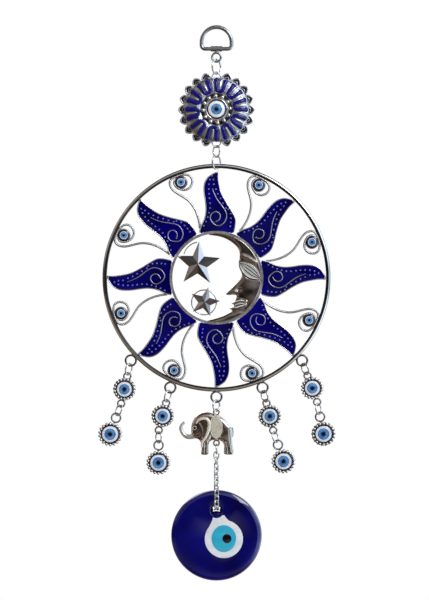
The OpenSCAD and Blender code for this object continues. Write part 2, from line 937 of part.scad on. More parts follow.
module eye_pupil() {
    half = disc_t / 2;
    color(black)
    translate([0, 0, disc_z])
        plate(-half - 0.3, -half + layer_t - 0.5)
            pupil_shape();
}

// ---- one line a node ----

hanger_d_ring();
hanger_jump_ring();
medallion_filigree();
medallion_flower();
medallion_enamel();
medallion_collar();
medallion_eye();
medallion_ring();
hoop_ring();
hoop();
sun_casting();
ray_enamel();
crescent_moon();
large_star();
small_star();
star_wires();
scroll_wires();
scroll_eyes();
drop_ring(0);  // d1_ring
drop_upper(0);  // d1_upper
drop_upper_eye(0);  // d1_upper_eye
drop_ring2(0);  // d1_ring2
drop_lower(0);  // d1_lower
drop_lower_eye(0);  // d1_lower_eye
drop_ring(1);  // d2_ring
drop_upper(1);  // d2_upper
drop_upper_eye(1);  // d2_upper_eye
drop_ring2(1);  // d2_ring2
drop_lower(1);  // d2_lower
drop_lower_eye(1);  // d2_lower_eye
drop_ring(2);  // d3_ring
drop_upper(2);  // d3_upper
drop_upper_eye(2);  // d3_upper_eye
drop_ring2(2);  // d3_ring2
drop_lower(2);  // d3_lower
drop_lower_eye(2);  // d3_lower_eye
drop_ring(3);  // d4_ring
drop_upper(3);  // d4_upper
drop_upper_eye(3);  // d4_upper_eye
drop_ring2(3);  // d4_ring2
drop_lower(3);  // d4_lower
drop_lower_eye(3);  // d4_lower_eye
elephant_ring();
elephant();
chain_ring();
chain_level(0);  // chain_01
chain_level(1);  // chain_02
chain_level(2);  // chain_03
chain_level(3);  // chain_04
chain_level(4);  // chain_05
chain_level(5);  // chain_06
chain_level(6);  // chain_07
chain_level(7);  // chain_08
chain_level(8);  // chain_09
chain_level(9);  // chain_10
chain_bight();
glass_disc();
eye_white();
eye_iris();
eye_pupil();
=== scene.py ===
"""Evil eye ornament: detail, finishes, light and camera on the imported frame."""

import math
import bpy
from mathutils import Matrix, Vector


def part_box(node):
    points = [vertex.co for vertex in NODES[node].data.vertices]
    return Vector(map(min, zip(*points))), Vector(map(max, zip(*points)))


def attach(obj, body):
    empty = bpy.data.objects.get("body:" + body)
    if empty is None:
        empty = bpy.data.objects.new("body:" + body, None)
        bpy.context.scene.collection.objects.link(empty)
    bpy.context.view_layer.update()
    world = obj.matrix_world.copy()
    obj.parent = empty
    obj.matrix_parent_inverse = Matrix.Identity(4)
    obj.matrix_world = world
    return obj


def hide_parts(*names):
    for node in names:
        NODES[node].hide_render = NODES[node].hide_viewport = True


bl_info = {
    "name": "Evil eye ornament",
    "version": (1, 0, 0),
    "blender": (4, 5, 0),
    "location": "View3D > Sidebar > Ornament",
    "description": "Builds the finished pieces of a hanging evil eye charm on its packed frame",
    "category": "Add Mesh",
}

import bpy
import numpy as np
from mathutils import Matrix, Vector

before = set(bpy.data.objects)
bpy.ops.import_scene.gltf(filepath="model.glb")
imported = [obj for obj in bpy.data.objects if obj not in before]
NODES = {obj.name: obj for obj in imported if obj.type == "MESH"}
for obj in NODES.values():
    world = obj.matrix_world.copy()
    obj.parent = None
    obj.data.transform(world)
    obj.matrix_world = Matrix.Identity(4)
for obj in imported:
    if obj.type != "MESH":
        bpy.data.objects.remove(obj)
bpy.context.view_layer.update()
MM = 0.001
DROPPERS = ("d1", "d2", "d3", "d4")
SIDES = (1, -1)

# Sizes of the frame's parts that its boxes don't give, in millimetres.
HOOP_OUTER_R = 63.5
MOON_RING_R = 25.2
DISC_R = 25.2
HOLE_UP = 14.0
SCALLOPS = 20
PETALS = 10
RAYS = 8
TEETH = 18
CUP_R = {"upper": 6.4, "lower": 6.8}
SMALL_LOOP = (1.5, 0.5)
BELLY_DROP = 17.3
ELEPHANT_HALF = 2.5
EAR_FORWARD = 2.95
ELEPHANT_EYE = (-12.1, -8.7)
SCROLL_EYE = (23.6, 51.6)
SHEET_FORWARD = 1.02
SHEET_T = 0.3

FINISH = {}


# ---- places, all in metres and taken from the frame ----


def centre_of(node):
    """The middle of a node's box."""
    low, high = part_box(node)
    return (Vector(low) + Vector(high)) / 2


def hoop_centre():
    """The middle of the hoop, below the highest point of its wire."""
    return Vector((0, 0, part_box("hoop")[1][2] - HOOP_OUTER_R * MM))


def medallion_centre():
    return centre_of("medallion_filigree")


def smooth(points, steps):
    """An open Catmull-Rom curve through flat points."""
    p = [Vector(q) for q in points]
    last = len(p) - 1
    out = []
    for i in range(last):
        a, b, c, d = p[max(i - 1, 0)], p[i], p[i + 1], p[min(i + 2, last)]
        for k in range(steps):
            u = k / steps
            out.append(
                0.5 * (2 * b + (c - a) * u + (2 * a - 5 * b + 4 * c - d) * u * u
                       + (3 * b - a - 3 * c + d) * u ** 3)
            )
    out.append(p[last])
    return out


# ---- modelling steps shared by the pieces ----


def rest():
    """Back to object mode with nothing selected."""
    if bpy.context.object and bpy.context.object.mode != "OBJECT":
        bpy.ops.object.mode_set(mode="OBJECT")
    bpy.ops.object.select_all(action="DESELECT")


def take(*objs):
    rest()
    for o in objs:
        o.select_set(True)
    bpy.context.view_layer.objects.active = objs[0]


def edit(obj):
    take(obj)
    bpy.ops.object.mode_set(mode="EDIT")
    bpy.ops.mesh.select_all(action="SELECT")


def place(obj):
    """Puts the object's place into its mesh."""
    take(obj)
    bpy.ops.object.transform_apply(location=True, rotation=True, scale=True)


def tidy(obj, merge=0.00001):
    """Merges doubles and turns every face outwards."""
    edit(obj)
    bpy.ops.mesh.remove_doubles(threshold=merge)
    bpy.ops.mesh.normals_make_consistent(inside=False)
    rest()


def round_off(obj, angle=40):
    take(obj)
    bpy.ops.object.shade_smooth_by_angle(angle=math.radians(angle))
    rest()


def join(name, objs):
    take(*objs)
    if len(objs) > 1:
        bpy.ops.object.join()
    made = bpy.context.view_layer.objects.active
    made.name = name
    made.data.name = name
    rest()
    return made


def moved_copy(obj, matrix):
    """A copy with its own mesh, moved by the matrix."""
    new = bpy.data.objects.new(obj.name, obj.data.copy())
    bpy.context.scene.collection.objects.link(new)
    new.data.transform(matrix)
    return new


def around(obj, centre, count, start=0.0, skip=()):
    """The piece copied round the Y axis through centre, as one object, but for the places in skip."""
    to, back = Matrix.Translation(centre), Matrix.Translation(-centre)
    name = obj.name
    made = [
        moved_copy(obj, to @ Matrix.Rotation(math.radians(start + 360 * i / count), 4, "Y") @ back)
        for i in range(count) if i not in skip
    ]
    bpy.data.objects.remove(obj)
    return join(name, made)


def use(obj, *materials):
    obj.data.materials.clear()
    for m in materials:
        obj.data.materials.append(m)


def mark_facing_for_painted_light(obj):
    """Stores how far the surface turns away from the front and back, for the finishes that paint light and
    shade there by that facing.
    """
    mesh = obj.data
    normals = np.zeros(len(mesh.vertices) * 3)
    mesh.vertex_normals.foreach_get("vector", normals)
    mark = mesh.attributes.new("turned_away", "FLOAT", "POINT")
    mark.data.foreach_set("value", 1 - np.abs(normals.reshape(-1, 3)[:, 1]))


def done(obj, body, replaced=()):
    """The piece rides on its body, and stands for the nodes that it replaces."""
    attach(obj, body)
    if replaced:
        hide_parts(*replaced)


def dress(obj, finish, angle, body, replaced=()):
    """Puts on the finish, smooths edges below the angle, and lets the piece ride on its body."""
    use(obj, FINISH[finish])
    if angle:
        round_off(obj, angle)
    done(obj, body, replaced)


def outwards():
    """Turns all the faces of the mesh in edit mode outwards, and leaves edit mode."""
    bpy.ops.mesh.select_all(action="SELECT")
    bpy.ops.mesh.normals_make_consistent(inside=False)
    rest()


def on_circle(radius, count, start=0.0):
    """Evenly spaced flat points on a circle, from start in radians off the plumb line."""
    angles = [start + 2 * math.pi * i / count for i in range(count)]
    return [(radius * math.sin(a), radius * math.cos(a)) for a in angles]


def mirrored(half, middle):
    """A row of points, its middle point and the same row mirrored."""
    return half + [middle] + [(-q[0], *q[1:]) for q in reversed(half)]


def spot(origin, x, up, forward=0.0):
    """A place, in millimetres right, up and forward of the origin."""
    return origin + Vector((x * MM, -forward * MM, up * MM))


def turned(name, profile, at, sides=48):
    """A disc extruded and resized through [radius, forward] steps, in millimetres."""
    rest()
    r, y = profile[0]
    bpy.ops.mesh.primitive_circle_add(
        vertices=sides, radius=r * MM, fill_type="NGON",
        location=(at[0], at[1] - y * MM, at[2]), rotation=(math.pi / 2, 0, 0))
    obj = bpy.context.object
    obj.name = name
    place(obj)
    edit(obj)
    for nr, ny in profile[1:]:
        bpy.ops.mesh.extrude_region_move(
            TRANSFORM_OT_translate={"value": (0, -(ny - y) * MM, 0)})
        k = nr / r
        bpy.ops.transform.resize(
            value=(k, 1, k), center_override=(at[0], at[1] - ny * MM, at[2]))
        r, y = nr, ny
    outwards()
    return obj


def torus(name, at, major, minor, sides, round_sides=8):
    """A round wire in the XZ plane."""
    rest()
    bpy.ops.mesh.primitive_torus_add(
        major_segments=sides, minor_segments=round_sides, major_radius=major * MM,
        minor_radius=minor * MM, location=tuple(at), rotation=(math.pi / 2, 0, 0))
    obj = bpy.context.object
    obj.name = name
    place(obj)
    return obj


def wire(name, points, radius, at, forward=0.0, cyclic=False, taper=None, sides=3):
    """A round wire through flat [x, up] or [x, up, forward] points from at, as a mesh."""
    rest()
    bpy.ops.curve.primitive_nurbs_path_add(location=(0, 0, 0))
    obj = bpy.context.object
    obj.name = name
    data = obj.data
    data.splines.clear()
    spline = data.splines.new("POLY")
    spline.points.add(len(points) - 1)
    for i, p in enumerate(points):
        y = p[2] if len(p) > 2 else forward
        spline.points[i].co = (at[0] + p[0] * MM, at[1] - y * MM, at[2] + p[1] * MM, 1)
        spline.points[i].radius = taper(i / max(len(points) - 1, 1)) if taper else 1.0
    spline.use_cyclic_u = cyclic
    data.dimensions = "3D"
    data.bevel_depth = radius * MM
    data.bevel_resolution = sides
    data.use_fill_caps = True
    take(obj)
    bpy.ops.object.convert(target="MESH")
    obj = bpy.context.view_layer.objects.active
    place(obj)
    tidy(obj)
    return obj


def bead(name, at, radius, flat=1.0, segments=8, rings=5):
    rest()
    bpy.ops.mesh.primitive_uv_sphere_add(
        segments=segments, ring_count=rings, radius=radius * MM,
        location=tuple(at), rotation=(math.pi / 2, 0, 0))
    obj = bpy.context.object
    obj.name = name
    obj.scale = (1, 1, flat)
    place(obj)
    return obj


def beads(name, spots, radius, centre, forward, flat=1.0, segments=8, rings=5):
    """One bead modelled once and copied to each [x, up] or [x, up, size] spot."""
    first = bead(name, (0, 0, 0), radius, flat, segments, rings)
    made = []
    for s in spots:
        size = s[2] if len(s) > 2 else 1.0
        to = Vector((centre[0] + s[0] * MM, centre[1] - forward * MM, centre[2] + s[1] * MM))
        made.append(moved_copy(first, Matrix.Translation(to) @ Matrix.Diagonal((size, size, size, 1))))
    bpy.data.objects.remove(first)
    return join(name, made)


def plate(name, outline, at, forward, deep):
    """A circle laid on the outline and extruded by a depth, left in edit mode with its new end selected."""
    rest()
    bpy.ops.mesh.primitive_circle_add(
        vertices=len(outline), radius=MM, fill_type="NGON", rotation=(math.pi / 2, 0, 0))
    obj = bpy.context.object
    obj.name = name
    place(obj)
    for v, p in zip(obj.data.vertices, outline):
        v.co = (at[0] + p[0] * MM, at[1] - forward * MM, at[2] + p[1] * MM)
    edit(obj)
    bpy.ops.mesh.extrude_region_move(TRANSFORM_OT_translate={"value": (0, deep * MM, 0)})
    return obj


def slab(name, outline, half, at, voxel):
    """A plate of twice the half thickness, remeshed evenly for relief."""
    obj = plate(name, outline, at, half, 2 * half)
    outwards()
    take(obj)
    even = obj.modifiers.new("even", "REMESH")
    even.mode = "VOXEL"
    even.voxel_size = voxel * MM
    bpy.ops.object.modifier_apply(modifier=even.name)
    return obj


def path_distance(points, path, closed=False):
    """Distance of each flat point to a path."""
    corners = np.array([tuple(q)[:2] for q in path], float)
    if closed:
        corners = np.vstack([corners, corners[:1]])
    best = np.full(len(points), 1e9)
    for start, end in zip(corners[:-1], corners[1:]):
        d = end - start
        n = float(d @ d)
        if n < 1e-9:
            continue
        t = np.clip(((points - start) @ d) / n, 0, 1)
        best = np.minimum(best, np.hypot(*(points - start - np.outer(t, d)).T))
    return best


def relief(obj, outline, at, half, soft, front=None, back=None, settle=3):
    """Rounds a plate off towards its outline, then adds the front's own relief, in millimetres."""
    mesh = obj.data
    co = np.zeros(len(mesh.vertices) * 3)
    mesh.vertices.foreach_get("co", co)
    co = co.reshape(-1, 3)
    flat = np.stack([(co[:, 0] - at[0]) / MM, (co[:, 2] - at[2]) / MM], 1)
    y = -(co[:, 1] - at[1]) / MM
    d = path_distance(flat, outline, True)
    grow = np.sqrt(np.clip(1 - (1 - np.clip(d / soft, 0, 1)) ** 2, 0, 1)) * 0.9 + 0.1
    side = np.clip(y / half, -1, 1)
    y = side * half * grow
    if front is not None:
        y += np.clip(side, 0, 1) ** 2 * front(flat[:, 0], flat[:, 1], d)
    if back is not None:
        y -= np.clip(-side, 0, 1) ** 2 * back(flat[:, 0], flat[:, 1], d)
    co[:, 1] = at[1] - y * MM
    mesh.vertices.foreach_set("co", co.ravel())
    mesh.update()
    take(obj)
    ease = obj.modifiers.new("ease", "SMOOTH")
    ease.factor, ease.iterations = 0.5, settle
    bpy.ops.object.modifier_apply(modifier=ease.name)
    bpy.ops.object.shade_smooth()
    rest()


def bump_at(x, z, cx, cz, wide, tall=None, turn=0.0):
    """A round bump of height one."""
    tall = tall or wide
    c, s = math.cos(math.radians(turn)), math.sin(math.radians(turn))
    u = (x - cx) * c + (z - cz) * s
    v = -(x - cx) * s + (z - cz) * c
    return np.exp(-((u / wide) ** 2 + (v / tall) ** 2))


def line_at(x, z, points, wide):
    """A rounded line of height one along flat points."""
    return np.exp(-((path_distance(np.stack([x, z], 1), points) / wide) ** 2))


# ---- finishes ----


def new_material(name):
    m = bpy.data.materials.new(name)
    m.use_nodes = True
    nodes, links = m.node_tree.nodes, m.node_tree.links
    shader = nodes["Principled BSDF"]
    return m, nodes, links, shader


def noise(nodes, links, scale, detail=3.0, rough=0.55):
    n = nodes.new("ShaderNodeTexNoise")
    n.inputs["Scale"].default_value = scale
    n.inputs["Detail"].default_value = detail
    n.inputs["Roughness"].default_value = rough
    links.new(nodes.new("ShaderNodeTexCoord").outputs["Object"], n.inputs["Vector"])
    return n.outputs["Fac"]


def ramp(nodes, links, value, stops):
    """A colour ramp; each stop is a place with a colour or one grey value."""
    r = nodes.new("ShaderNodeValToRGB")
    while len(r.color_ramp.elements) > 1:
        r.color_ramp.elements.remove(r.color_ramp.elements[-1])
    for i, (at, shade) in enumerate(stops):
        e = r.color_ramp.elements[0] if i == 0 else r.color_ramp.elements.new(at)
        e.position = at
        e.color = (*(shade if isinstance(shade, tuple) else [shade] * 3), 1)
    links.new(value, r.inputs["Fac"])
    return r.outputs["Color"]


def mixed(nodes, links, first, second, factor=1.0, blend="MIX"):
    """Two colours mixed; the second and the factor are sockets or fixed values."""
    mix = nodes.new("ShaderNodeMix")
    mix.data_type, mix.blend_type = "RGBA", blend
    links.new(first, mix.inputs["A"])
    for socket, value in (("B", second), ("Factor", factor)):
        if isinstance(value, bpy.types.NodeSocket):
            links.new(value, mix.inputs[socket])
        else:
            mix.inputs[socket].default_value = value
    return mix.outputs["Result"]


def recolour(nodes, links, second, factor=1.0, blend="MIX"):
    """Mixes a further colour into the shader's base colour."""
    base = nodes["Principled BSDF"].inputs["Base Color"]
    links.new(mixed(nodes, links, base.links[0].from_socket, second, factor, blend), base)


def bumped(nodes, links, shader, height, strength, distance):
    b = nodes.new("ShaderNodeBump")
    b.inputs["Strength"].default_value = strength
    b.inputs["Distance"].default_value = distance * MM
    links.new(height, b.inputs["Height"])
    links.new(b.outputs["Normal"], shader.inputs["Normal"])


def metal(name, light, dark, low, high, grain=900.0, strength=0.15, depth=0.05, painted_hollow_shade=0.0):
    """A cast or drawn metal: worn light and dark areas, uneven polish and a fine skin, and, when asked,
    painted shade that darkens its hollows.
    """
    m, nodes, links, shader = new_material(name)
    shader.inputs["Metallic"].default_value = 1.0
    wear = noise(nodes, links, 160.0, 4.0, 0.6)
    tint = ramp(nodes, links, wear, [(0.3, dark), (0.62, light)])
    # Painted shade: an ambient occlusion mask darkens the base colour in hollows and creases.
    if painted_hollow_shade:
        hollow = nodes.new("ShaderNodeAmbientOcclusion")
        hollow.samples = 4
        hollow.inputs["Distance"].default_value = 1.1 * MM
        shade = ramp(nodes, links, hollow.outputs["AO"], [(0.25, 1 - painted_hollow_shade), (0.8, 1.0)])
        tint = mixed(nodes, links, tint, shade, blend="MULTIPLY")
    links.new(tint, shader.inputs["Base Color"])
    polish = noise(nodes, links, 420.0, 3.0)
    links.new(ramp(nodes, links, polish, [(0.3, low), (0.7, high)]), shader.inputs["Roughness"])
    bumped(nodes, links, shader, noise(nodes, links, grain, 2.0), strength, depth)
    return m


def glass(name, light, dark, low=0.03, high=0.12, scale=70.0, coat=0.8, strength=0.1, shine=0.5):
    """Glossy glass or enamel: cloudy depth of colour, a near-smooth surface with small waves."""
    m, nodes, links, shader = new_material(name)
    cloud = noise(nodes, links, scale, 3.0)
    links.new(ramp(nodes, links, cloud, [(0.35, dark), (0.68, light)]), shader.inputs["Base Color"])
    fine = noise(nodes, links, 500.0, 2.0)
    links.new(ramp(nodes, links, fine, [(0.3, low), (0.75, high)]), shader.inputs["Roughness"])
    shader.inputs["Specular IOR Level"].default_value = shine
    shader.inputs["Coat Weight"].default_value = coat
    shader.inputs["Coat Roughness"].default_value = 0.03
    bumped(nodes, links, shader, noise(nodes, links, 140.0, 2.0), strength, 0.08)
    return m


def pale(name, light, dark, low, high, grain=900.0, strength=0.1, depth=0.05, metallic=0.35):
    """Matted silver that also scatters light, so that it stays pale all round."""
    m = metal(name, light, dark, low, high, grain, strength, depth)
    m.node_tree.nodes["Principled BSDF"].inputs["Metallic"].default_value = metallic
    return m


def facing_painted_metal(name, light, dark, edge, low, high, start=0.25, end=0.55):
    """Old polished silver whose sides, where the surface turns away from front and back, get another colour:
    a painted reflection on the rounded edges of the moon and the elephant, and painted shade on the sides of
    the scroll wires.
    """
    m = metal(name, light, dark, low, high, 800.0, 0.12, 0.05, painted_hollow_shade=0.4)
    nodes, links = m.node_tree.nodes, m.node_tree.links
    # Painted light by facing: the edge colour is mixed in where the surface turns away from front and back.
    turn = nodes.new("ShaderNodeAttribute")
    turn.attribute_name = "turned_away"
    share = ramp(nodes, links, turn.outputs["Fac"], [(start, 0.0), (end, 1.0)])
    recolour(nodes, links, (*edge, 1), share)
    return m


def reach_from(nodes, links, centre, radius):
    """Distance from a centre across the front, as a share of the radius."""
    place_at = nodes.new("ShaderNodeTexCoord").outputs["Object"]
    move = nodes.new("ShaderNodeMapping")
    move.vector_type = "POINT"
    k = 1 / (radius * MM)
    move.inputs["Location"].default_value = (-centre[0] * k, 0, -centre[2] * k)
    move.inputs["Scale"].default_value = (k, 0, k)
    links.new(place_at, move.inputs["Vector"])
    reach = nodes.new("ShaderNodeVectorMath")
    reach.operation = "LENGTH"
    links.new(move.outputs["Vector"], reach.inputs[0])
    return reach.outputs["Value"]


def painted_shade_hoop_metal(name, centre, light, dark):
    """Polished wire with a dark line of painted shade along its inner side and a painted darker outer edge;
    the ramp is brightness by radius.
    """
    m = metal(name, light, dark, 0.06, 0.16, 700.0, 0.06)
    nodes, links = m.node_tree.nodes, m.node_tree.links
    full = 64
    # Painted shade: dark along the inner side of the wire, where its inner surface is in shadow, and darker
    # at the outer edge.
    painted_shade_by_radius = [(0, 1.0), (60.9, 0.8), (61.3, 0.01), (61.95, 0.01), (62.15, 1.0), (62.9, 1.0), (63.2, 0.3)]
    line = ramp(nodes, links, reach_from(nodes, links, centre, full), [(r / full, v) for r, v in painted_shade_by_radius])
    recolour(nodes, links, line, blend="MULTIPLY")
    return m


def glass_with_painted_rim_highlight(name, centre, radius, light, dark):
    """The pendant's glass: deep in the middle, with a painted highlight as a brighter band at the rim."""
    m = glass(name, light, dark, 0.03, 0.08, 40.0, 0.5, 0.06)
    nodes, links = m.node_tree.nodes, m.node_tree.links
    # Painted highlight: the light colour is mixed in as a narrow band near the rim.
    band = ramp(nodes, links, reach_from(nodes, links, centre, radius),
                [(0.0, 0.0), (0.88, 0.0), (0.91, 0.5), (0.94, 0.1), (1.0, 0.2)])
    recolour(nodes, links, (*light, 1), band)
    return m


def make_finishes(c):
    """Every finish of the ornament, from the settings' colours."""
    silver, tarnish = tuple(c.silver), tuple(c.tarnish)
    FINISH.update({
        "hoop": painted_shade_hoop_metal("hoop_silver", hoop_centre(), (0.97, 0.96, 0.94), (0.8, 0.79, 0.77)),
        "granule": metal("bright_granules", (0.95, 0.94, 0.9), (0.78, 0.76, 0.72), 0.16, 0.3,
                         1100.0, 0.2, 0.04),
        # Dark tarnish for the moon's veins, and painted shade for the filigree webs and the ring between the
        # granules.
        "tarnish_and_painted_shade": metal("dark_tarnish_and_painted_shade", (0.06, 0.06, 0.07), (0.02, 0.02, 0.025), 0.4, 0.6, 1400.0, 0.4),
        "spiral": metal("dull_silver_line", (0.52, 0.52, 0.66), (0.36, 0.36, 0.5), 0.3, 0.45, 1200.0, 0.3),
        "polished": metal("polished_silver", silver, (0.66, 0.66, 0.68), 0.06, 0.16, 700.0, 0.06),
        "cast": metal("cast_silver", silver, tarnish, 0.26, 0.42, 1100.0, 0.35, 0.06, painted_hollow_shade=0.7),
        "cup": metal("cup_silver", (0.42, 0.41, 0.4), (0.22, 0.21, 0.22), 0.26, 0.42,
                     1100.0, 0.3, 0.05, painted_hollow_shade=0.6),
        "drawn": metal("drawn_silver_wire", (0.9, 0.89, 0.85), (0.66, 0.64, 0.6), 0.16, 0.3,
                       1500.0, 0.2, 0.04, painted_hollow_shade=0.45),
        # Scroll wires: painted shade, dark where the surface turns away, leaving a light core.
        "scroll": facing_painted_metal("scroll_wire", (0.9, 0.9, 0.87), (0.72, 0.72, 0.7), (0.22, 0.22, 0.23), 0.3, 0.45,
                        start=0.1, end=0.4),
        "steel": metal("grey_steel", (0.5, 0.5, 0.52), (0.34, 0.34, 0.36), 0.22, 0.36, 1300.0, 0.25),
        # Moon and elephant: a painted reflection, light where the surface turns away from front and back.
        "moon": facing_painted_metal("moon_silver", (0.42, 0.37, 0.33), (0.28, 0.23, 0.2), (0.8, 0.78, 0.75), 0.12, 0.24),
        "elephant": facing_painted_metal("elephant_silver", (0.55, 0.47, 0.41), (0.38, 0.3, 0.26), (0.98, 0.95, 0.88),
                          0.14, 0.26),
        # Pale rims, eye rings and hem of the elephant: a painted highlight on its rounded edges.
        "hide_edge": pale("elephant_rims_painted_highlight", (0.86, 0.8, 0.68), (0.76, 0.69, 0.55), 0.25, 0.4),
        "ear_hollow": metal("ear_hollow", (0.26, 0.19, 0.15), (0.14, 0.1, 0.08), 0.25, 0.4, 900.0, 0.25),
        "trunk": pale("elephant_trunk_silver", (0.88, 0.87, 0.84), (0.7, 0.68, 0.64), 0.14, 0.28,
                      metallic=0.75),
        "lip": glass("hole_lip_glass", (0.004, 0.004, 0.15), (0.0012, 0.0006, 0.05), 0.3, 0.45,
                     40.0, 0.0, 0.06, 0.15),
        "saddle": pale("saddle_cloth", (0.66, 0.61, 0.5), (0.5, 0.45, 0.36), 0.5, 0.7, 2000.0, 0.9, 0.2),
        "facet": metal("star_silver", (0.5, 0.5, 0.52), (0.34, 0.33, 0.34), 0.06, 0.14, 500.0, 0.05),
        "leaf": pale("moon_leaf", (0.82, 0.82, 0.77), (0.62, 0.61, 0.56), 0.3, 0.45),
        "cobalt": glass("cobalt_enamel", tuple(c.cobalt), (0.002, 0.003, 0.12), 0.08, 0.18,
                        180.0, 0.25, 0.1, 0.3),
        "navy": glass("navy_enamel", tuple(c.navy), (0.001, 0.0, 0.055), 0.14, 0.26, 60.0, 0.02, 0.2, 0.1),
        "dark": glass("dark_blue_glass", (0.004, 0.006, 0.05), (0.001, 0.001, 0.014), 0.03, 0.1),
        "white": glass("white_glass", tuple(c.white), (0.72, 0.76, 0.8), 0.06, 0.16, 220.0),
        "sky": glass("sky_blue_glass", tuple(c.sky), (0.05, 0.17, 0.42), 0.05, 0.14, 600.0),
        "iris_edge": glass("iris_edge_glass", (0.06, 0.2, 0.46), (0.02, 0.09, 0.28), 0.05, 0.14, 600.0),
        "turquoise": glass("turquoise_glass", tuple(c.turquoise), (0.035, 0.42, 0.6), 0.05, 0.13, 260.0),
        "black": glass("black_glass", (0.006, 0.007, 0.012), (0.001, 0.001, 0.002), 0.03, 0.1),
        "lavender": glass("lavender_enamel", tuple(c.lavender), (0.12, 0.12, 0.36), 0.3, 0.5, 900.0, 0.0),
        # The pendant's glass, with a painted highlight band near its rim.
        "disc": glass_with_painted_rim_highlight("pendant_glass", centre_of("glass_disc"), DISC_R, (0.004, 0.004, 0.17),
                          (0.0012, 0.0006, 0.055)),
    })


# ---- settings ----


def colour(label, description, default):
    return bpy.props.FloatVectorProperty(
        name=label, description=description, default=default, subtype="COLOR", min=0.0, max=1.0)


def size(label, description, default):
    return bpy.props.FloatProperty(
        name=label, description=description, default=default, min=0.0, unit="LENGTH")


class OrnamentColours(bpy.types.PropertyGroup):
    silver: colour("Silver", "Clean, light areas of the silver", (0.86, 0.86, 0.88))
    tarnish: colour("Tarnish", "Darker worn areas of the cast silver", (0.52, 0.52, 0.54))
    cobalt: colour("Cobalt", "Enamel of the medallion's petals", (0.004, 0.004, 0.24))
    navy: colour("Navy", "Enamel of the sun's rays", (0.002, 0.0005, 0.16))
    white: colour("White", "White of every eye", (0.9, 0.91, 0.92))
    sky: colour("Sky blue", "Iris of the small eyes", (0.15, 0.38, 0.68))
    turquoise: colour("Turquoise", "Iris of the pendant's eye", (0.04, 0.48, 0.66))
    lavender: colour("Lavender", "Dots on the sun's rays", (0.2, 0.2, 0.5))


class OrnamentSizes(bpy.types.PropertyGroup):
    spiral_wire: size("Spiral wire", "Radius of the raised spiral on a ray", 0.36 * MM)
    dot: size("Dot", "Radius of an enamel dot on a ray", 0.52 * MM)
    border_wire: size("Border wire", "Radius of the wire along a ray's border", 0.3 * MM)
    camera_distance: size("Camera distance", "From the camera to the ornament", 1.3925)
    floor_radius: size("Floor radius", "Radius of the round floor", 0.34)
    floor_depth: size("Floor depth", "Depth of the floor below the hanging point", 0.385)


class OrnamentStep:
    """What the operators share."""

    bl_options = {"REGISTER", "UNDO"}

    @property
    def sizes(self):
        return bpy.context.scene.ornament_sizes


class ORNAMENT_OT_finishes(OrnamentStep, bpy.types.Operator):
    """Makes the finishes and puts them on the frame's own parts"""

    bl_idname = "ornament.finishes"
    bl_label = "Finishes"

    def execute(self, context):
        make_finishes(context.scene.ornament_colours)
        plan = {
            "steel": ["hanger_d_ring"],
            "hoop": ["hoop"],
            "polished": ["hanger_jump_ring"],
            "cast": ["medallion_flower", "medallion_collar", "sun_casting"],
            "drawn": ["medallion_ring", "hoop_ring", "elephant_ring", "chain_ring", "star_wires"]
            + ["chain_bight", *[n for n in NODES if n.startswith("chain_") and n[-2:].isdigit()]]
            + [d + ring for d in DROPPERS for ring in ("_ring", "_ring2")],
            "cobalt": ["medallion_enamel"],
            "navy": ["ray_enamel"],
            "cup": [f"{d}_{part}" for d in DROPPERS for part in CUP_R],
            "facet": ["large_star", "small_star"],
        }
        for finish, names in plan.items():
            for n in names:
                use(NODES[n], FINISH[finish])
        return {"FINISHED"}


class ORNAMENT_OT_filigree(OrnamentStep, bpy.types.Operator):
    """Openwork border of the medallion"""

    bl_idname = "ornament.filigree"
    bl_label = "Medallion filigree"

    def execute(self, context):
        c = medallion_centre()
        # A pointed loop, straightened towards its foot, with a small eye inside.
        loop = smooth(mirrored([(-1.2, 17.1), (-2.35, 17.9), (-2.1, 19.2), (-1.1, 20.4)], (0, 20.95)), 3)
        small = smooth(mirrored([(-1.5, 17.3), (-1.25, 18.3), (-0.55, 18.9)], (0, 19.05)), 2)
        big = wire("filigree_loop", loop, 0.45, c)
        inner = wire("filigree_inner", small, 0.22, c, 0.3)
        tip = bead("filigree_tip", spot(c, 0, 20.95, 0.35), 0.55)
        # Dark webs of painted shade close every loop but the top and bottom ones, which the rings hang in.
        web = bead("filigree_painted_shade_webs", (0, 0, 0), 1.0, 1.0, 12, 6)
        web.data.transform(Matrix.Diagonal((1.9, 0.25, 1.9, 1)))
        web.data.transform(Matrix.Translation(spot(c, 0, 18.6, -0.25)))
        hung = (0, SCALLOPS // 2)
        loops = around(big, c, SCALLOPS)
        tips, inners, webs = [around(o, c, SCALLOPS, 0, hung) for o in (tip, inner, web)]
        dress(webs, "tarnish_and_painted_shade", 60, "medallion")
        profile = [(17.3, -0.6), (17.8, -0.35), (17.8, 0.35), (17.3, 0.6), (14.0, 0.6)]
        band = turned("openwork_band", profile, c, 96)
        rope = beads("openwork_rope", on_circle(17.7, 90), 0.42, c, 0.35)
        made = join("medallion_openwork", [loops, tips, inners, band, rope])
        dress(made, "cast", 50, "medallion", ["medallion_filigree"])
        return {"FINISHED"}


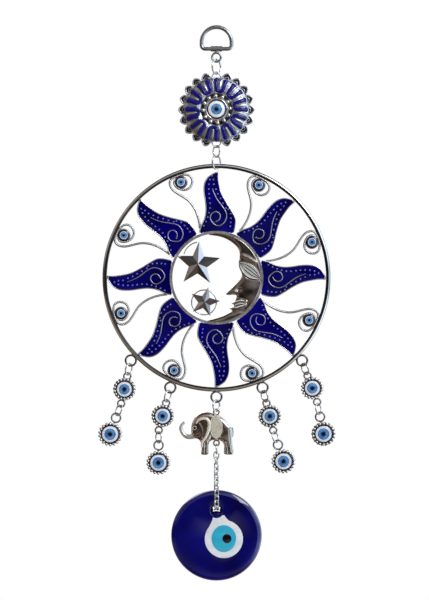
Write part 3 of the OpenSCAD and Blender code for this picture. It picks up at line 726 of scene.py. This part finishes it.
class ORNAMENT_OT_petals(OrnamentStep, bpy.types.Operator):
    """Enamel lobes, ribs, rims and dividers of the flower's petals"""

    bl_idname = "ornament.petals"
    bl_label = "Medallion petals"

    def execute(self, context):
        c = medallion_centre()
        half = [(-2.55, 16.2, 2.6), (-2.4, 14.5, 3.4), (-2.1, 12.4, 3.85), (-1.85, 11.1, 3.9),
                (-1.25, 10.3, 3.8)]
        lobes = smooth(mirrored(half, (0, 10.0, 3.7)), 3)
        cell = wire("petal_lobes", lobes, 1.1, c, taper=lambda u: 0.85 + 0.25 * abs(2 * u - 1), sides=4)
        ends = beads("petal_ends", [(-2.55, 16.2), (2.55, 16.2)], 1.3, c, 2.6, 1.0, 16, 10)
        half_step = 180 / PETALS / 2
        made = around(join("petal_lobes", [cell, ends]), c, PETALS, half_step)
        dress(made, "cobalt", 60, "medallion")
        edge = [(-4.3, 13.8, 3.0), (-4.45, 15.6, 2.4), (-3.9, 17.0, 1.8), (-2.7, 17.5, 1.6),
                (-1.5, 17.1, 1.9)]
        rim = wire("petal_rim", smooth(mirrored(edge, (0, 16.2, 2.7)), 3), 0.33, c)
        rib = bead("petal_rib", (0, 0, 0), 1.0, 0.8, 20, 12)
        long = 3.2
        rib.data.transform(Matrix.Diagonal((0.95, 1.0, long, 1)))
        for v in rib.data.vertices:
            v.co.x *= 1.0 + 0.25 * v.co.z / (long * MM)
        rib.data.transform(Matrix.Rotation(math.radians(-13), 4, "X"))
        rib.data.transform(Matrix.Translation(spot(c, 0, 13.9, 3.45)))
        made = around(join("petal_ribs", [rim, rib]), c, PETALS, half_step)
        dress(made, "cast", 60, "medallion")
        # The low dividers between petals.
        ridge = [(0, 9.8, 3.6), (0, 11.5, 4.0), (0, 13.5, 3.5), (0, 15.2, 2.9)]
        spoke = wire("petal_dividers", ridge, 0.42, c, taper=lambda u: 0.8 + 0.5 * u)
        made = around(spoke, c, PETALS, 3 * half_step)
        dress(made, "cast", 60, "medallion")
        return {"FINISHED"}


def eye(name, at, profile, bands, sides=48):
    """A turned glass eye whose rings of colour are bands of its own faces."""
    obj = turned(name, profile, at, sides)
    use(obj, *[FINISH[b[1]] for b in bands])
    for f in obj.data.polygons:
        r = math.hypot(f.center.x - at[0], f.center.z - at[2]) / MM
        if len(f.vertices) > 4:
            r = 0.0 if f.center.y < at[1] - profile[0][1] * MM - 0.00001 else 99.0
        f.material_index = next(i for i, b in enumerate(bands) if r >= b[0])
    round_off(obj, 35)
    return obj


def dome(radius, low, high, cuts):
    """Profile of a low glass dome from its flat foot, with a ring at every colour's edge."""
    def height(r):
        return low + (high - low) * math.sqrt(max(0.0, 1 - (r / radius) ** 2))
    even = [radius * k for k in (0.985, 0.94, 0.85, 0.7, 0.5, 0.3, 0.12)]
    rings = sorted({*even, *cuts}, reverse=True)
    return [(radius, 0), (radius, low)] + [(r, height(r)) for r in rings] + [(0.05, high)]


def colours(cuts):
    """The rings of colour of a glass eye, from its dark edge to the pupil."""
    return list(zip((*cuts, 0), ("dark", "white", "iris_edge", "sky", "iris_edge", "black")))


class ORNAMENT_OT_eyes(OrnamentStep, bpy.types.Operator):
    """Glass eyes of the medallion, the scrolls and the droppers, with the grains round them"""

    bl_idname = "ornament.eyes"
    bl_label = "Small eyes"

    def cup_eye(self, cup, radius):
        """Glass eye of one dropper's cup, with its dark rim and the bright grains of the cup's teeth."""
        node = cup + "_eye"
        low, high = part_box(node)
        at = Vector(((low[0] + high[0]) / 2, high[1], (low[2] + high[2]) / 2))
        g = radius - 1.65
        tall = (high[1] - low[1]) / MM
        cuts = [g * k for k in (0.86, 0.62, 0.54, 0.34, 0.22)]
        made = eye(node + "_glass", at, dome(g, tall - 1.25, tall, cuts), colours(cuts))
        done(made, cup, [node])
        rim = torus(cup + "_rim", Vector((at.x, -1.25 * MM, at.z)), g + 0.1, 0.22, 48)
        dress(rim, "dark", 60, cup)
        middle = centre_of(cup)
        spots = on_circle(radius - 0.98, TEETH, math.atan2(at.x - middle.x, at.z - middle.z))
        grains = beads(cup + "_grains", spots, 0.78, Vector((at.x, 0, at.z)), 1.5, 1.0, 10, 6)
        dress(grains, "granule", 80, cup)

    def execute(self, context):
        c = medallion_centre()
        cuts = (4.6, 3.05, 2.6, 1.7, 1.05)
        made = eye("medallion_glass_eye", spot(c, 0, 0, 1.5), dome(5.7, 1.9, 4.1, cuts), colours(cuts))
        done(made, "medallion", ["medallion_eye"])
        spots = on_circle(7.5, 12, math.radians(-4))
        grains = beads("medallion_granules", spots, 1.2, c, 3.7, 1.0, 16, 10)
        dress(grains, "granule", 80, "medallion")
        # A dark ring of painted shade, seen in the gaps between the granules.
        gutter = torus("medallion_painted_shade_gutter", spot(c, 0, 0, 3.2), 7.5, 0.75, 64)
        dress(gutter, "tarnish_and_painted_shade", 60, "medallion")
        bezel = torus("medallion_bezel", spot(c, 0, 0, 3.85), 5.75, 0.5, 64, 10)
        dress(bezel, "polished", 60, "medallion")
        h = hoop_centre()
        profile = [(2.6, -1.4), (3.15, -0.95), (3.4, -0.3), (3.4, 0.45), (3.2, 0.9), (2.75, 1.15),
                   (2.2, 1.28), (1.9, 1.32), (1.2, 1.4), (0.75, 1.43), (0.05, 1.45)]
        one = eye("scroll_bead", spot(h, *SCROLL_EYE), profile,
                  [(2.2, "dark"), (1.9, "white"), (0.75, "sky"), (0, "black")], 32)
        for f in one.data.polygons:
            if f.center.y > 0.1 * MM:
                f.material_index = 0
        made = around(one, h, RAYS)
        made.name = "scroll_beads"
        done(made, "hoop", ["scroll_eyes"])
        for d in DROPPERS:
            for part in CUP_R:
                self.cup_eye(f"{d}_{part}", CUP_R[part])
        return {"FINISHED"}


RAY = [(0.0, 25.2, 9.75), (0.8, 28.6, 9.75), (1.85, 33.0, 8.8), (1.1, 37.6, 7.2), (-0.35, 41.9, 6.0),
       (-2.2, 47.7, 4.95), (-2.75, 53.4, 4.25), (-2.1, 57.4, 3.1), (-0.5, 59.8, 1.6), (0.7, 61.3, 0.35)]
SPIRAL = [(-2.3, 49.7), (-1.3, 46.9), (0.4, 43.5), (2.9, 40.1), (4.9, 37.2), (5.6, 34.4), (4.6, 31.2),
          (2.4, 29.3), (0.1, 29.0), (-2.2, 30.7), (-3.5, 33.2), (-2.8, 35.5), (-0.5, 36.8), (1.5, 35.8),
          (2.1, 33.8), (1.2, 32.1), (-0.5, 31.2)]
DOTS = [(-2.5, 56.8), (-3.7, 54.6), (-1.7, 54.6), (-4.2, 52.0), (-1.5, 52.0), (-4.3, 49.3), (-0.3, 49.3),
        (-4.2, 46.7), (0.7, 46.7), (-3.9, 44.2), (2.2, 44.2), (-3.6, 41.5), (3.6, 41.5), (-3.6, 38.8),
        (5.2, 38.8), (-4.2, 36.2), (-4.9, 33.7), (-5.9, 31.2), (-7.1, 28.9), (6.6, 38.1), (7.9, 35.7),
        (8.0, 33.1), (7.9, 30.7), (7.6, 28.6)]


class ORNAMENT_OT_rays(OrnamentStep, bpy.types.Operator):
    """Spirals, enamel dots and border wires of the sun's rays"""

    bl_idname = "ornament.rays"
    bl_label = "Sun rays"

    def line(self, top):
        """Middle and half width of a ray; the top one is drawn in below the ring round the hoop."""
        out = smooth(RAY, 4)
        start, end = 44, 59.15
        if top:
            for p in out:
                if p[1] > start:
                    p[1] = start + (p[1] - start) * (end - start) / (RAY[-1][1] - start)
        return out

    def both_edges(self, curve, inset):
        """Up a ray's left edge and down its right one."""
        left = [(q[0] - q[2] + inset, q[1]) for q in curve]
        return left + [(q[0] + q[2] - inset, q[1]) for q in reversed(curve)]

    def sheet(self, name, h, top, end):
        """Enamel of one ray, from the moon's ring to its tip, with a softened edge."""
        foot_r = MOON_RING_R + 0.95
        foot = [(foot_r * math.sin(a), foot_r * math.cos(a)) for a in map(math.radians, range(19, -20, -2))]
        curve = [p for p in self.line(top) if MOON_RING_R < p[1] < end and p[2] > 0.7]
        outline = foot + self.both_edges(curve, 0.42)
        obj = plate(name, outline, h, SHEET_FORWARD, -SHEET_T)
        bpy.ops.mesh.inset(thickness=0.25 * MM, depth=0.08 * MM)
        outwards()
        return obj

    def execute(self, context):
        h = hoop_centre()
        s = self.sizes
        full = self.sheet("ray_sheet", h, False, 60.4)
        sheets = around(full, h, RAYS, 0, (0,))
        short = self.sheet("ray_sheet_top", h, True, 58.8)
        made = join("ray_sheets", [sheets, short])
        dress(made, "navy", 50, "hoop", ["ray_enamel"])
        coil = wire("ray_spirals", smooth(SPIRAL, 3), s.spiral_wire / MM, h, 1.36,
                    taper=lambda u: 0.55 + 0.45 * min(1, u * 8))
        made = around(coil, h, RAYS)
        dress(made, "spiral", 60, "hoop")
        made = around(beads("ray_dots", DOTS, s.dot / MM, h, 1.3, 0.7), h, RAYS)
        dress(made, "lavender", 80, "hoop")
        borders = []
        for top, end in ((False, 60.6), (True, 58.7)):
            curve = [p for p in self.line(top) if MOON_RING_R < p[1] < end]
            one = wire("ray_border_wires", self.both_edges(curve, 0.25), s.border_wire / MM, h, 1.2)
            borders.append(one if top else around(one, h, RAYS, 0, (0,)))
        made = join("ray_border_wires", borders)
        dress(made, "drawn", 60, "hoop")
        return {"FINISHED"}


SCROLL = [(12.9, 26.0), (15.0, 28.6), (17.2, 32.4), (18.7, 36.4), (19.3, 40.7), (18.9, 44.1),
          (17.9, 48.1), (17.4, 51.2), (17.8, 53.9), (19.2, 56.0), (21.3, 56.6), (24.3, 55.6),
          (27.3, 53.9), (29.4, 51.2), (29.2, 48.6), (27.4, 46.7), (24.8, 46.0), (22.2, 47.0),
          (20.5, 49.3), (19.9, 51.6), (20.5, 53.8), (22.2, 55.0)]


class ORNAMENT_OT_scrolls(OrnamentStep, bpy.types.Operator):
    """Scrolled wires between the rays, granulated where they wind round their beads"""

    bl_idname = "ornament.scrolls"
    bl_label = "Scroll wires"

    def execute(self, context):
        h = hoop_centre()
        path = smooth(SCROLL, 5)
        tube = wire("scroll_tubes", path, 0.66, h)
        # Grains sit at even steps along the winding end.
        spots = [path[35]]
        for p in path[36:]:
            if (p - spots[-1]).length > 0.85:
                spots.append(p)
        grains = beads("scroll_grains", spots, 0.62, h, 0.12)
        seat = torus("scroll_seat", spot(h, *SCROLL_EYE), 3.5, 0.3, 40)
        made = around(join("scroll_tubes", [tube, grains, seat]), h, RAYS)
        # The facing drives the painted shade on the sides of the wires.
        mark_facing_for_painted_light(made)
        dress(made, "scroll", 60, "hoop", ["scroll_wires"])
        return {"FINISHED"}


MOON = [(-4.5, 23.9), (1.4, 23.0), (5.1, 21.8), (8.8, 19.6), (11.8, 16.7), (12.9, 14.0), (12.9, 11.1),
        (12.4, 8.4), (12.8, 5.2), (14.2, 1.9), (13.0, -0.9), (9.2, -4.9), (5.4, -8.6), (6.4, -9.6),
        (11.0, -9.6), (10.4, -12.2), (8.3, -14.2), (10.0, -15.4), (7.2, -17.0), (8.8, -18.4),
        (6.4, -19.8), (3.6, -21.2), (-0.8, -22.6), (-5.0, -23.7)]


class ORNAMENT_OT_moon(OrnamentStep, bpy.types.Operator):
    """The crescent moon with its face in relief"""

    bl_idname = "ornament.moon"
    bl_label = "Crescent moon"

    def execute(self, context):
        h = hoop_centre()
        half, back_r = 1.9, 24.7
        inner = [tuple(q) for q in smooth(MOON, 3)]
        arc = [(back_r * math.cos(a), back_r * math.sin(a)) for a in map(math.radians, range(-101, 100, 4))]
        body = slab("moon", inner + arc, half, h, 0.26)
        # The closed eye's middle, and the directions along it and across it.
        eye_at = Vector((18.6, 3.8))
        run, rise = Vector((11.4, -8.9)).normalized(), Vector((8.9, 11.4)).normalized()

        def face(x, z, d):
            u = (x - eye_at.x) * run.x + (z - eye_at.y) * run.y
            v = (x - eye_at.x) * rise.x + (z - eye_at.y) * rise.y
            leaf = np.clip(1 - (u / 7.2) ** 2, 0, 1) * 3.2 - np.abs(v)
            y = -0.8 * np.exp(-((leaf + 0.3) / 0.45) ** 2) * (np.abs(u) < 7.8)
            y += 0.7 * bump_at(x, z, 19.5, -7.5, 5.0, 6.0)
            y -= 0.9 * bump_at(x, z, 12.5, -6.8, 1.5, 0.8, 25)
            y += 0.5 * bump_at(x, z, 9.2, -7.2, 2.6, 1.2, 42)
            y += 0.75 * line_at(x, z, [(9.0, -14.0), (12.5, -12.6), (16.4, -13.4)], 0.8)
            y += 0.75 * line_at(x, z, [(8.0, -16.9), (12.0, -16.2), (15.6, -14.8)], 0.8)
            y -= 0.9 * line_at(x, z, [(9.0, -15.3), (12.6, -14.6), (17.2, -14.0)], 0.45)
            y += 0.4 * line_at(x, z, [(13.6, 12.5), (17.5, 11.0), (21.5, 8.4)], 1.0)
            y -= 0.35 * line_at(x, z, [(9.4, -19.6), (12.6, -18.4), (15.4, -18.6)], 0.8)
            return y * np.clip(d / 1.2, 0, 1)

        # The front stays level up to the ring, so it is rounded only along the profile.
        wide = [(x * 1.13, z * 1.13) for x, z in arc]
        relief(body, inner + wide, h, half, 2.4, face, settle=2)
        body.name = "moon_relief"
        # The facing drives the painted reflection on the moon's rounded edges.
        mark_facing_for_painted_light(body)
        use(body, FINISH["moon"])
        done(body, "hoop", ["crescent_moon"])
        # The closed eye is a leaf with dark veins; three bright bars make the lips.
        stations = (-7.1, -6, -4.5, -3, -1.5, 0, 1.5, 3, 4.5, 6, 7.1)

        def vein(k, forward):
            """One vein of the leaf; k = -1 and 1 are its two edges."""
            spots = [eye_at + run * u + rise * (k * 3.15 * (1 - (u / 7.3) ** 2)) for u in stations]
            return [(q.x, q.y, forward) for q in spots]

        def fine(u):
            return 0.5 + 0.5 * math.sin(math.pi * u)

        leaf = [q[:2] for q in smooth(vein(1, 0), 2) + smooth(vein(-1, 0), 2)[::-1]]
        lid = slab("moon_leaf", leaf, 0.5, h, 0.22)
        lid.data.transform(Matrix.Translation((0, -1.75 * MM, 0)))
        lines = [lid] + [wire("moon_leaf", smooth(vein(k, 2.25), 2), 0.3, h, taper=fine) for k in (-1.0, 1.0)]
        veins = join("moon_veins", [
            wire("moon_veins", smooth(vein(k, 2.26), 2), 0.25, h, taper=fine) for k in (-0.45, 0.08, 0.58)])
        dress(veins, "tarnish_and_painted_shade", 70, "hoop")
        lips = [
            [(8.6, -14.2, 1.3), (11.6, -13.0, 2.3), (14.0, -12.6, 2.5), (16.8, -13.6, 2.4)],
            [(10.2, -15.3, 1.6), (12.8, -14.3, 2.3), (15.6, -14.3, 2.5)],
            [(7.6, -17.0, 1.1), (10.6, -16.6, 2.1), (13.4, -15.8, 2.5), (16.2, -14.9, 2.5)],
        ]
        for bar in lips:
            lines.append(wire("moon_leaf", smooth(bar, 4), 0.42, h, taper=fine))
        made = join("moon_leaf_and_lips", lines)
        dress(made, "leaf", 70, "hoop")
        return {"FINISHED"}


ELEPHANT = [(-13.6, -6.2), (-12.1, -3.1), (-10.1, -1.2), (-7.2, 0.0), (-4.1, -0.1), (-1.8, -0.8),
            (0.9, -1.5), (2.4, -2.4), (4.8, -4.1), (7.2, -6.5), (8.7, -8.3), (8.3, -9.9), (8.5, -12.8),
            (8.8, -17.6), (9.6, -22.2), (9.0, -23.6), (6.8, -23.8), (4.4, -23.5), (4.1, -22.0),
            (4.3, -19.1), (3.4, -16.8), (1.4, -15.7), (-1.0, -15.6), (-3.1, -16.0), (-4.1, -17.6),
            (-4.5, -21.0), (-4.2, -22.8), (-5.2, -23.8), (-8.0, -23.8), (-8.6, -22.7), (-8.2, -21.0),
            (-8.5, -18.1), (-9.3, -15.9), (-11.0, -14.8), (-12.8, -14.6), (-13.9, -12.6), (-14.0, -10.4),
            (-14.0, -8.2)]
TRUNK = [(-11.4, -12.6), (-12.9, -13.4), (-14.8, -13.7), (-16.5, -13.6), (-18.0, -12.6), (-19.3, -10.8),
         (-19.8, -8.9), (-19.2, -7.1), (-17.9, -5.7)]
EAR = [(-11.3, -6.3), (-8.4, -3.9), (-5.3, -4.1), (-3.7, -6.3), (-4.4, -10.0), (-5.9, -13.6),
       (-7.8, -16.0), (-9.1, -14.2), (-8.6, -10.6), (-9.6, -7.6)]


EAR_RIM = [(-11.3, -6.4), (-10.0, -4.6), (-8.2, -3.7), (-5.6, -3.8), (-4.0, -6.0), (-4.5, -10.0),
           (-5.9, -13.6), (-7.8, -16.4), (-8.2, -19.6)]
TAIL = [(8.2, -8.0), (9.0, -9.4), (9.2, -12.0), (9.0, -14.0)]
# Creases of the hide: depth, half width and path.
FOLDS = [
    (1.0, 0.45, [(-12.4, -14.4), (-10.8, -13.2), (-9.6, -12.9)]),
    (0.9, 0.4, [(6.6, -23.9), (6.4, -19.6), (5.6, -16.4)]),
    (0.9, 0.4, [(-6.4, -23.9), (-6.3, -20.0), (-6.0, -17.2)]),
    (0.5, 0.5, [(-3.4, -15.8), (-2.6, -12.0), (-3.0, -8.0)]),
    (0.5, 0.5, [(3.2, -16.4), (2.4, -13.2), (3.4, -10.0)]),
]


class ORNAMENT_OT_elephant(OrnamentStep, bpy.types.Operator):
    """The elephant: rounded body, curled trunk, ears, saddle cloth and its two loops"""

    bl_idname = "ornament.elephant"
    bl_label = "Elephant"

    def execute(self, context):
        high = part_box("elephant")[1]
        at = Vector((0, 0, high[2] - sum(SMALL_LOOP) * MM))
        body = self.body(at)
        trunk = wire("elephant_trunk", smooth(TRUNK, 4), 1.15, at, taper=lambda u: 1.45 - 0.75 * u, sides=5)
        dress(trunk, "trunk", 60, "elephant")
        swell = self.eyes(body, at)
        tail = wire("elephant_tail", smooth(TAIL, 4), 0.4, at, taper=lambda u: 1.2 - 0.5 * u)
        loops = [
            torus("elephant_loop", at, *SMALL_LOOP, 40, 14),
            torus("elephant_belly_loop", spot(at, 0, -BELLY_DROP), *SMALL_LOOP, 40, 14),
        ]
        made = join("elephant_casting", [body, tail] + loops)
        # The facing drives the painted reflection on the casting's rounded edges.
        mark_facing_for_painted_light(made)
        dress(made, "elephant", 60, "elephant", ["elephant"])
        self.ears(at, swell)
        self.saddle(at)
        return {"FINISHED"}

    def body(self, at):
        """Rounded body with the folds of its mouth, legs and belly."""
        outline = [tuple(q) for q in smooth(ELEPHANT + ELEPHANT[:1], 2)]
        body = slab("elephant_body", outline, ELEPHANT_HALF, at, 0.28)

        def hide(x, z, d):
            y = 0.5 * bump_at(x, z, 5.2, -11.5, 3.2, 4.6) + 0.45 * bump_at(x, z, -7.5, -9.0, 3.4, 5.5)
            for depth, wide, fold in FOLDS:
                y -= depth * line_at(x, z, fold, wide)
            return y * np.clip(d / 1.0, 0, 1)

        relief(body, outline, at, ELEPHANT_HALF, 2.6, hide, hide)
        return body

    def eyes(self, body, at):
        """An eye on each side; returns how far the body stands out there, by side."""
        x, z = ELEPHANT_EYE
        swell, pair = {}, []
        for side in SIDES:
            hit = body.ray_cast(at + Vector((x * MM, -side * 0.02, z * MM)), Vector((0, side, 0)))
            swell[side] = (at.y - hit[1].y) / MM
            pair.append(beads("elephant_eye", [ELEPHANT_EYE], 0.8, at, swell[side], 0.7, 16, 10))
        dress(join("elephant_eyes", pair), "black", 80, "elephant")
        return swell

    def ears(self, at, swell):
        """Hollow ears with pale rims, and the pale rings round the eyes; the pale colour of rims and rings is
        a painted highlight.
        """
        flap = [tuple(q) for q in smooth(EAR + EAR[:1], 3)]

        def hollow(x, z, d):
            return -0.75 * np.clip((d - 0.75) / 0.7, 0, 1)

        ears, rims, rings = [], [], []
        for side in SIDES:
            ear = slab("ear", flap, 0.7, at, 0.22)
            relief(ear, flap, at, 0.7, 0.9, hollow, hollow, 2)
            ear.data.transform(Matrix.Translation((0, -side * EAR_FORWARD * MM, 0)))
            ears.append(ear)
            rim = smooth([(x, z, side * EAR_FORWARD) for x, z in EAR_RIM], 4)
            rims.append(wire("elephant_ear_rims", rim, 1.0, at,
                             taper=lambda u: 0.45 + 0.6 * math.sin(math.pi * u) ** 0.7))
            rings.append(torus("elephant_ear_rims", spot(at, *ELEPHANT_EYE, swell[side]), 1.0, 0.2, 24))
        dress(join("elephant_ears", ears), "ear_hollow", 0, "elephant")
        # The rims and eye rings are pale as a painted highlight.
        dress(join("elephant_ear_rims", rims + rings), "hide_edge", 70, "elephant")

    def saddle(self, at):
        """Oval cloth on each side, with its hem."""
        cloth = [(-0.2 + 3.3 * x, -8.1 + 6.2 * z) for x, z in on_circle(1.0, 48)]
        cloths, hems = [], []
        for side in SIDES:
            pad = slab("cloth", cloth, 0.5, at, 0.24)
            relief(pad, cloth, at, 0.5, 0.8, settle=2)
            pad.data.transform(Matrix.Translation((0, -side * 2.75 * MM, 0)))
            cloths.append(pad)
            hems.append(wire("hem", cloth, 0.28, at, side * EAR_FORWARD, cyclic=True))
        dress(join("elephant_saddle", cloths), "saddle", 0, "elephant")
        # The hem is pale as a painted highlight.
        dress(join("elephant_saddle_hem", hems), "hide_edge", 60, "elephant")


class ORNAMENT_OT_pendant(OrnamentStep, bpy.types.Operator):
    """The glass disc and the layers of its eye"""

    bl_idname = "ornament.pendant"
    bl_label = "Glass pendant"

    def execute(self, context):
        plan = {
            "glass_disc": ("pendant_disc", "disc", "navy_glass", 0.5),
            "eye_white": ("pendant_white", "white", "white_glass", 0.09),
            "eye_iris": ("pendant_iris", "turquoise", "turquoise_glass", 0.09),
            "eye_pupil": ("pendant_pupil", "black", "black_glass", 0.09),
        }
        for node, (name, finish, slot, edge) in plan.items():
            obj = moved_copy(NODES[node], Matrix.Identity(4))
            obj.name = name
            tidy(obj, 0.000002)
            take(obj)
            soft = obj.modifiers.new("soft edges", "BEVEL")
            soft.width, soft.segments = edge * MM, 3
            soft.limit_method, soft.angle_limit = "ANGLE", math.radians(18)
            soft.use_clamp_overlap = True
            bpy.ops.object.modifier_apply(modifier=soft.name)
            dress(obj, finish, 30, "disc", [node])
        # Lobes of glass below the hole and at its sides, between the two faces.
        mid = centre_of("glass_disc")
        lobes = []
        for x, up, scale, segments in (
            (0, HOLE_UP - 2.5, (3.1, 2.25, 2.1, 1), 32),
            (-2.6, HOLE_UP, (0.85, 1.1, 1.5, 1), 24),
            (2.6, HOLE_UP, (0.85, 1.1, 1.5, 1), 24),
        ):
            lobe = bead("pendant_hole_lip", (0, 0, 0), 1.0, 1.0, segments, segments // 2)
            lobe.data.transform(Matrix.Diagonal(scale))
            lobe.data.transform(Matrix.Translation(spot(mid, x, up)))
            lobes.append(lobe)
        lip = join("pendant_hole_lip", lobes)
        dress(lip, "lip", 60, "disc")
        return {"FINISHED"}


DAYLIGHT = (1, 1, 1)
# Softboxes: name, place, width, height, power, tint, and whether the metal mirrors them.
LAMPS = (
    ("key", (0.5, -0.7, 0.42), 0.3, 0.45, 3.0, DAYLIGHT, True),
    ("fill", (-0.85, -0.5, 0.05), 0.3, 0.8, 2.2, (1.0, 0.97, 0.93), False),
    ("top", (0.1, -0.2, 0.7), 0.5, 0.4, 2.4, DAYLIGHT, False),
    ("low", (0.1, -0.6, -0.7), 0.5, 0.25, 1.4, DAYLIGHT, False),
    ("rear", (-0.3, 0.8, 0.3), 0.6, 0.6, 2.5, DAYLIGHT, True),
)
# Colours of the room from straight down to straight up, and what multiplies them from left to right.
ROOM_BANDS = [
    (0.0, (0.2, 0.16, 0.12)), (0.14, (0.12, 0.09, 0.07)), (0.26, (0.5, 0.47, 0.42)),
    (0.38, (0.5, 0.48, 0.45)), (0.45, (0.03, 0.027, 0.025)), (0.53, (0.05, 0.045, 0.045)),
    (0.6, (0.5, 0.51, 0.54)), (0.82, (0.85, 0.87, 0.92)), (0.89, (0.1, 0.1, 0.11)), (1.0, (0.16, 0.17, 0.2)),
]
ROOM_SIDES = [
    (0.0, (0.75, 0.66, 0.56)), (0.22, (0.4, 0.32, 0.27)), (0.45, (0.6, 0.55, 0.5)), (0.6, (1.0, 1.0, 1.05)),
    (1.0, (1.3, 1.35, 1.45)),
]
# Light added from left to right: a faint glow far left and the window on the right.
ROOM_WINDOW = [
    (0.0, 0.0), (0.06, (0.16, 0.13, 0.1)), (0.1, 0.0), (0.78, 0.0),
    (0.85, (0.7, 0.95, 1.2)), (0.93, (0.8, 1.05, 1.3)), (1.0, (0.3, 0.38, 0.46)),
]


class ORNAMENT_OT_stage(OrnamentStep, bpy.types.Operator):
    """Floor, soft studio light, surroundings and camera"""

    bl_idname = "ornament.stage"
    bl_label = "Stage"

    def execute(self, context):
        self.floor()
        for lamp in LAMPS:
            self.softbox(*lamp)
        self.room()
        self.camera()
        context.scene.view_settings.view_transform = "Standard"
        return {"FINISHED"}

    def floor(self):
        rest()
        s = self.sizes
        bpy.ops.mesh.primitive_circle_add(
            vertices=96, radius=s.floor_radius, fill_type="NGON", location=(0, 0, -s.floor_depth))
        floor = bpy.context.object
        floor.name = "floor"
        m, nodes, links, shader = new_material("pale_floor")
        links.new(ramp(nodes, links, noise(nodes, links, 12.0),
                       [(0.3, 0.86), (0.7, 0.9)]), shader.inputs["Base Color"])
        shader.inputs["Roughness"].default_value = 0.7
        use(floor, m)
        floor.visible_glossy = False

    def softbox(self, name, place_at, wide, tall, power, tint, mirrored):
        """A lamp that looks at the ornament's middle; mirrored ones show in the metal."""
        data = bpy.data.lights.new(name, "AREA")
        data.shape, data.size, data.size_y = "RECTANGLE", wide, tall
        data.energy, data.color = power, tint
        lamp = bpy.data.objects.new(name, data)
        bpy.context.scene.collection.objects.link(lamp)
        lamp.location = place_at
        lamp.visible_glossy = mirrored
        target = Vector((0, 0, -0.15))
        lamp.rotation_euler = (target - Vector(place_at)).to_track_quat("-Z", "Y").to_euler()

    def room(self):
        """Surroundings that only the ornament sees: a dim banded room with a window; the eye sees white."""
        world = bpy.data.worlds.new("studio")
        bpy.context.scene.world = world
        world.use_nodes = True
        nodes, links = world.node_tree.nodes, world.node_tree.links
        split = nodes.new("ShaderNodeSeparateXYZ")
        links.new(nodes.new("ShaderNodeTexCoord").outputs["Generated"], split.inputs[0])

        def share(axis):
            """The direction's part along an axis, from 0 to 1."""
            half = nodes.new("ShaderNodeMath")
            half.operation = "MULTIPLY_ADD"
            half.inputs[1].default_value, half.inputs[2].default_value = 0.5, 0.5
            links.new(split.outputs[axis], half.inputs[0])
            return half.outputs[0]

        up, across = share("Z"), share("X")
        bands, side, window = [ramp(nodes, links, value, stops) for value, stops in (
            (up, ROOM_BANDS), (across, ROOM_SIDES), (across, ROOM_WINDOW))]
        lit = mixed(nodes, links, mixed(nodes, links, bands, side, blend="MULTIPLY"), window, blend="ADD")
        seen = nodes.new("ShaderNodeLightPath").outputs["Is Camera Ray"]
        back = nodes["Background"]
        links.new(mixed(nodes, links, lit, (1.0, 1.0, 1.0, 1), seen), back.inputs["Color"])
        back.inputs["Strength"].default_value = 1.0

    def camera(self):
        data = bpy.data.cameras.new("camera")
        data.lens, data.sensor_width = 150.0, 36.0
        data.clip_start, data.clip_end = 0.05, 20.0
        camera = bpy.data.objects.new("camera", data)
        bpy.context.scene.collection.objects.link(camera)
        camera.location = (-0.0011, -self.sizes.camera_distance, -0.1509)
        camera.rotation_euler = (math.pi / 2, 0, 0)
        bpy.context.scene.camera = camera


STEPS = (
    ORNAMENT_OT_finishes,
    ORNAMENT_OT_filigree,
    ORNAMENT_OT_petals,
    ORNAMENT_OT_eyes,
    ORNAMENT_OT_rays,
    ORNAMENT_OT_scrolls,
    ORNAMENT_OT_moon,
    ORNAMENT_OT_elephant,
    ORNAMENT_OT_pendant,
    ORNAMENT_OT_stage,
)


class ORNAMENT_PT_panel(bpy.types.Panel):
    """Lists the ornament's settings and steps"""

    bl_idname = "ORNAMENT_PT_panel"
    bl_label = "Evil eye ornament"
    bl_space_type = "VIEW_3D"
    bl_region_type = "UI"
    bl_category = "Ornament"

    def draw(self, context):
        for group in (context.scene.ornament_colours, context.scene.ornament_sizes):
            for key in group.__annotations__:
                self.layout.prop(group, key)
        for step in STEPS:
            self.layout.operator(step.bl_idname)


CLASSES = (OrnamentColours, OrnamentSizes, *STEPS, ORNAMENT_PT_panel)


def register():
    for c in CLASSES:
        bpy.utils.register_class(c)
    bpy.types.Scene.ornament_colours = bpy.props.PointerProperty(type=OrnamentColours)
    bpy.types.Scene.ornament_sizes = bpy.props.PointerProperty(type=OrnamentSizes)


def unregister():
    del bpy.types.Scene.ornament_colours
    del bpy.types.Scene.ornament_sizes
    for c in reversed(CLASSES):
        bpy.utils.unregister_class(c)


def main():
    """Builds every piece in order."""
    register()
    for step in STEPS:
        group, name = step.bl_idname.split(".")
        getattr(getattr(bpy.ops, group), name)()
    rest()


if __name__ == "__main__":
    main()
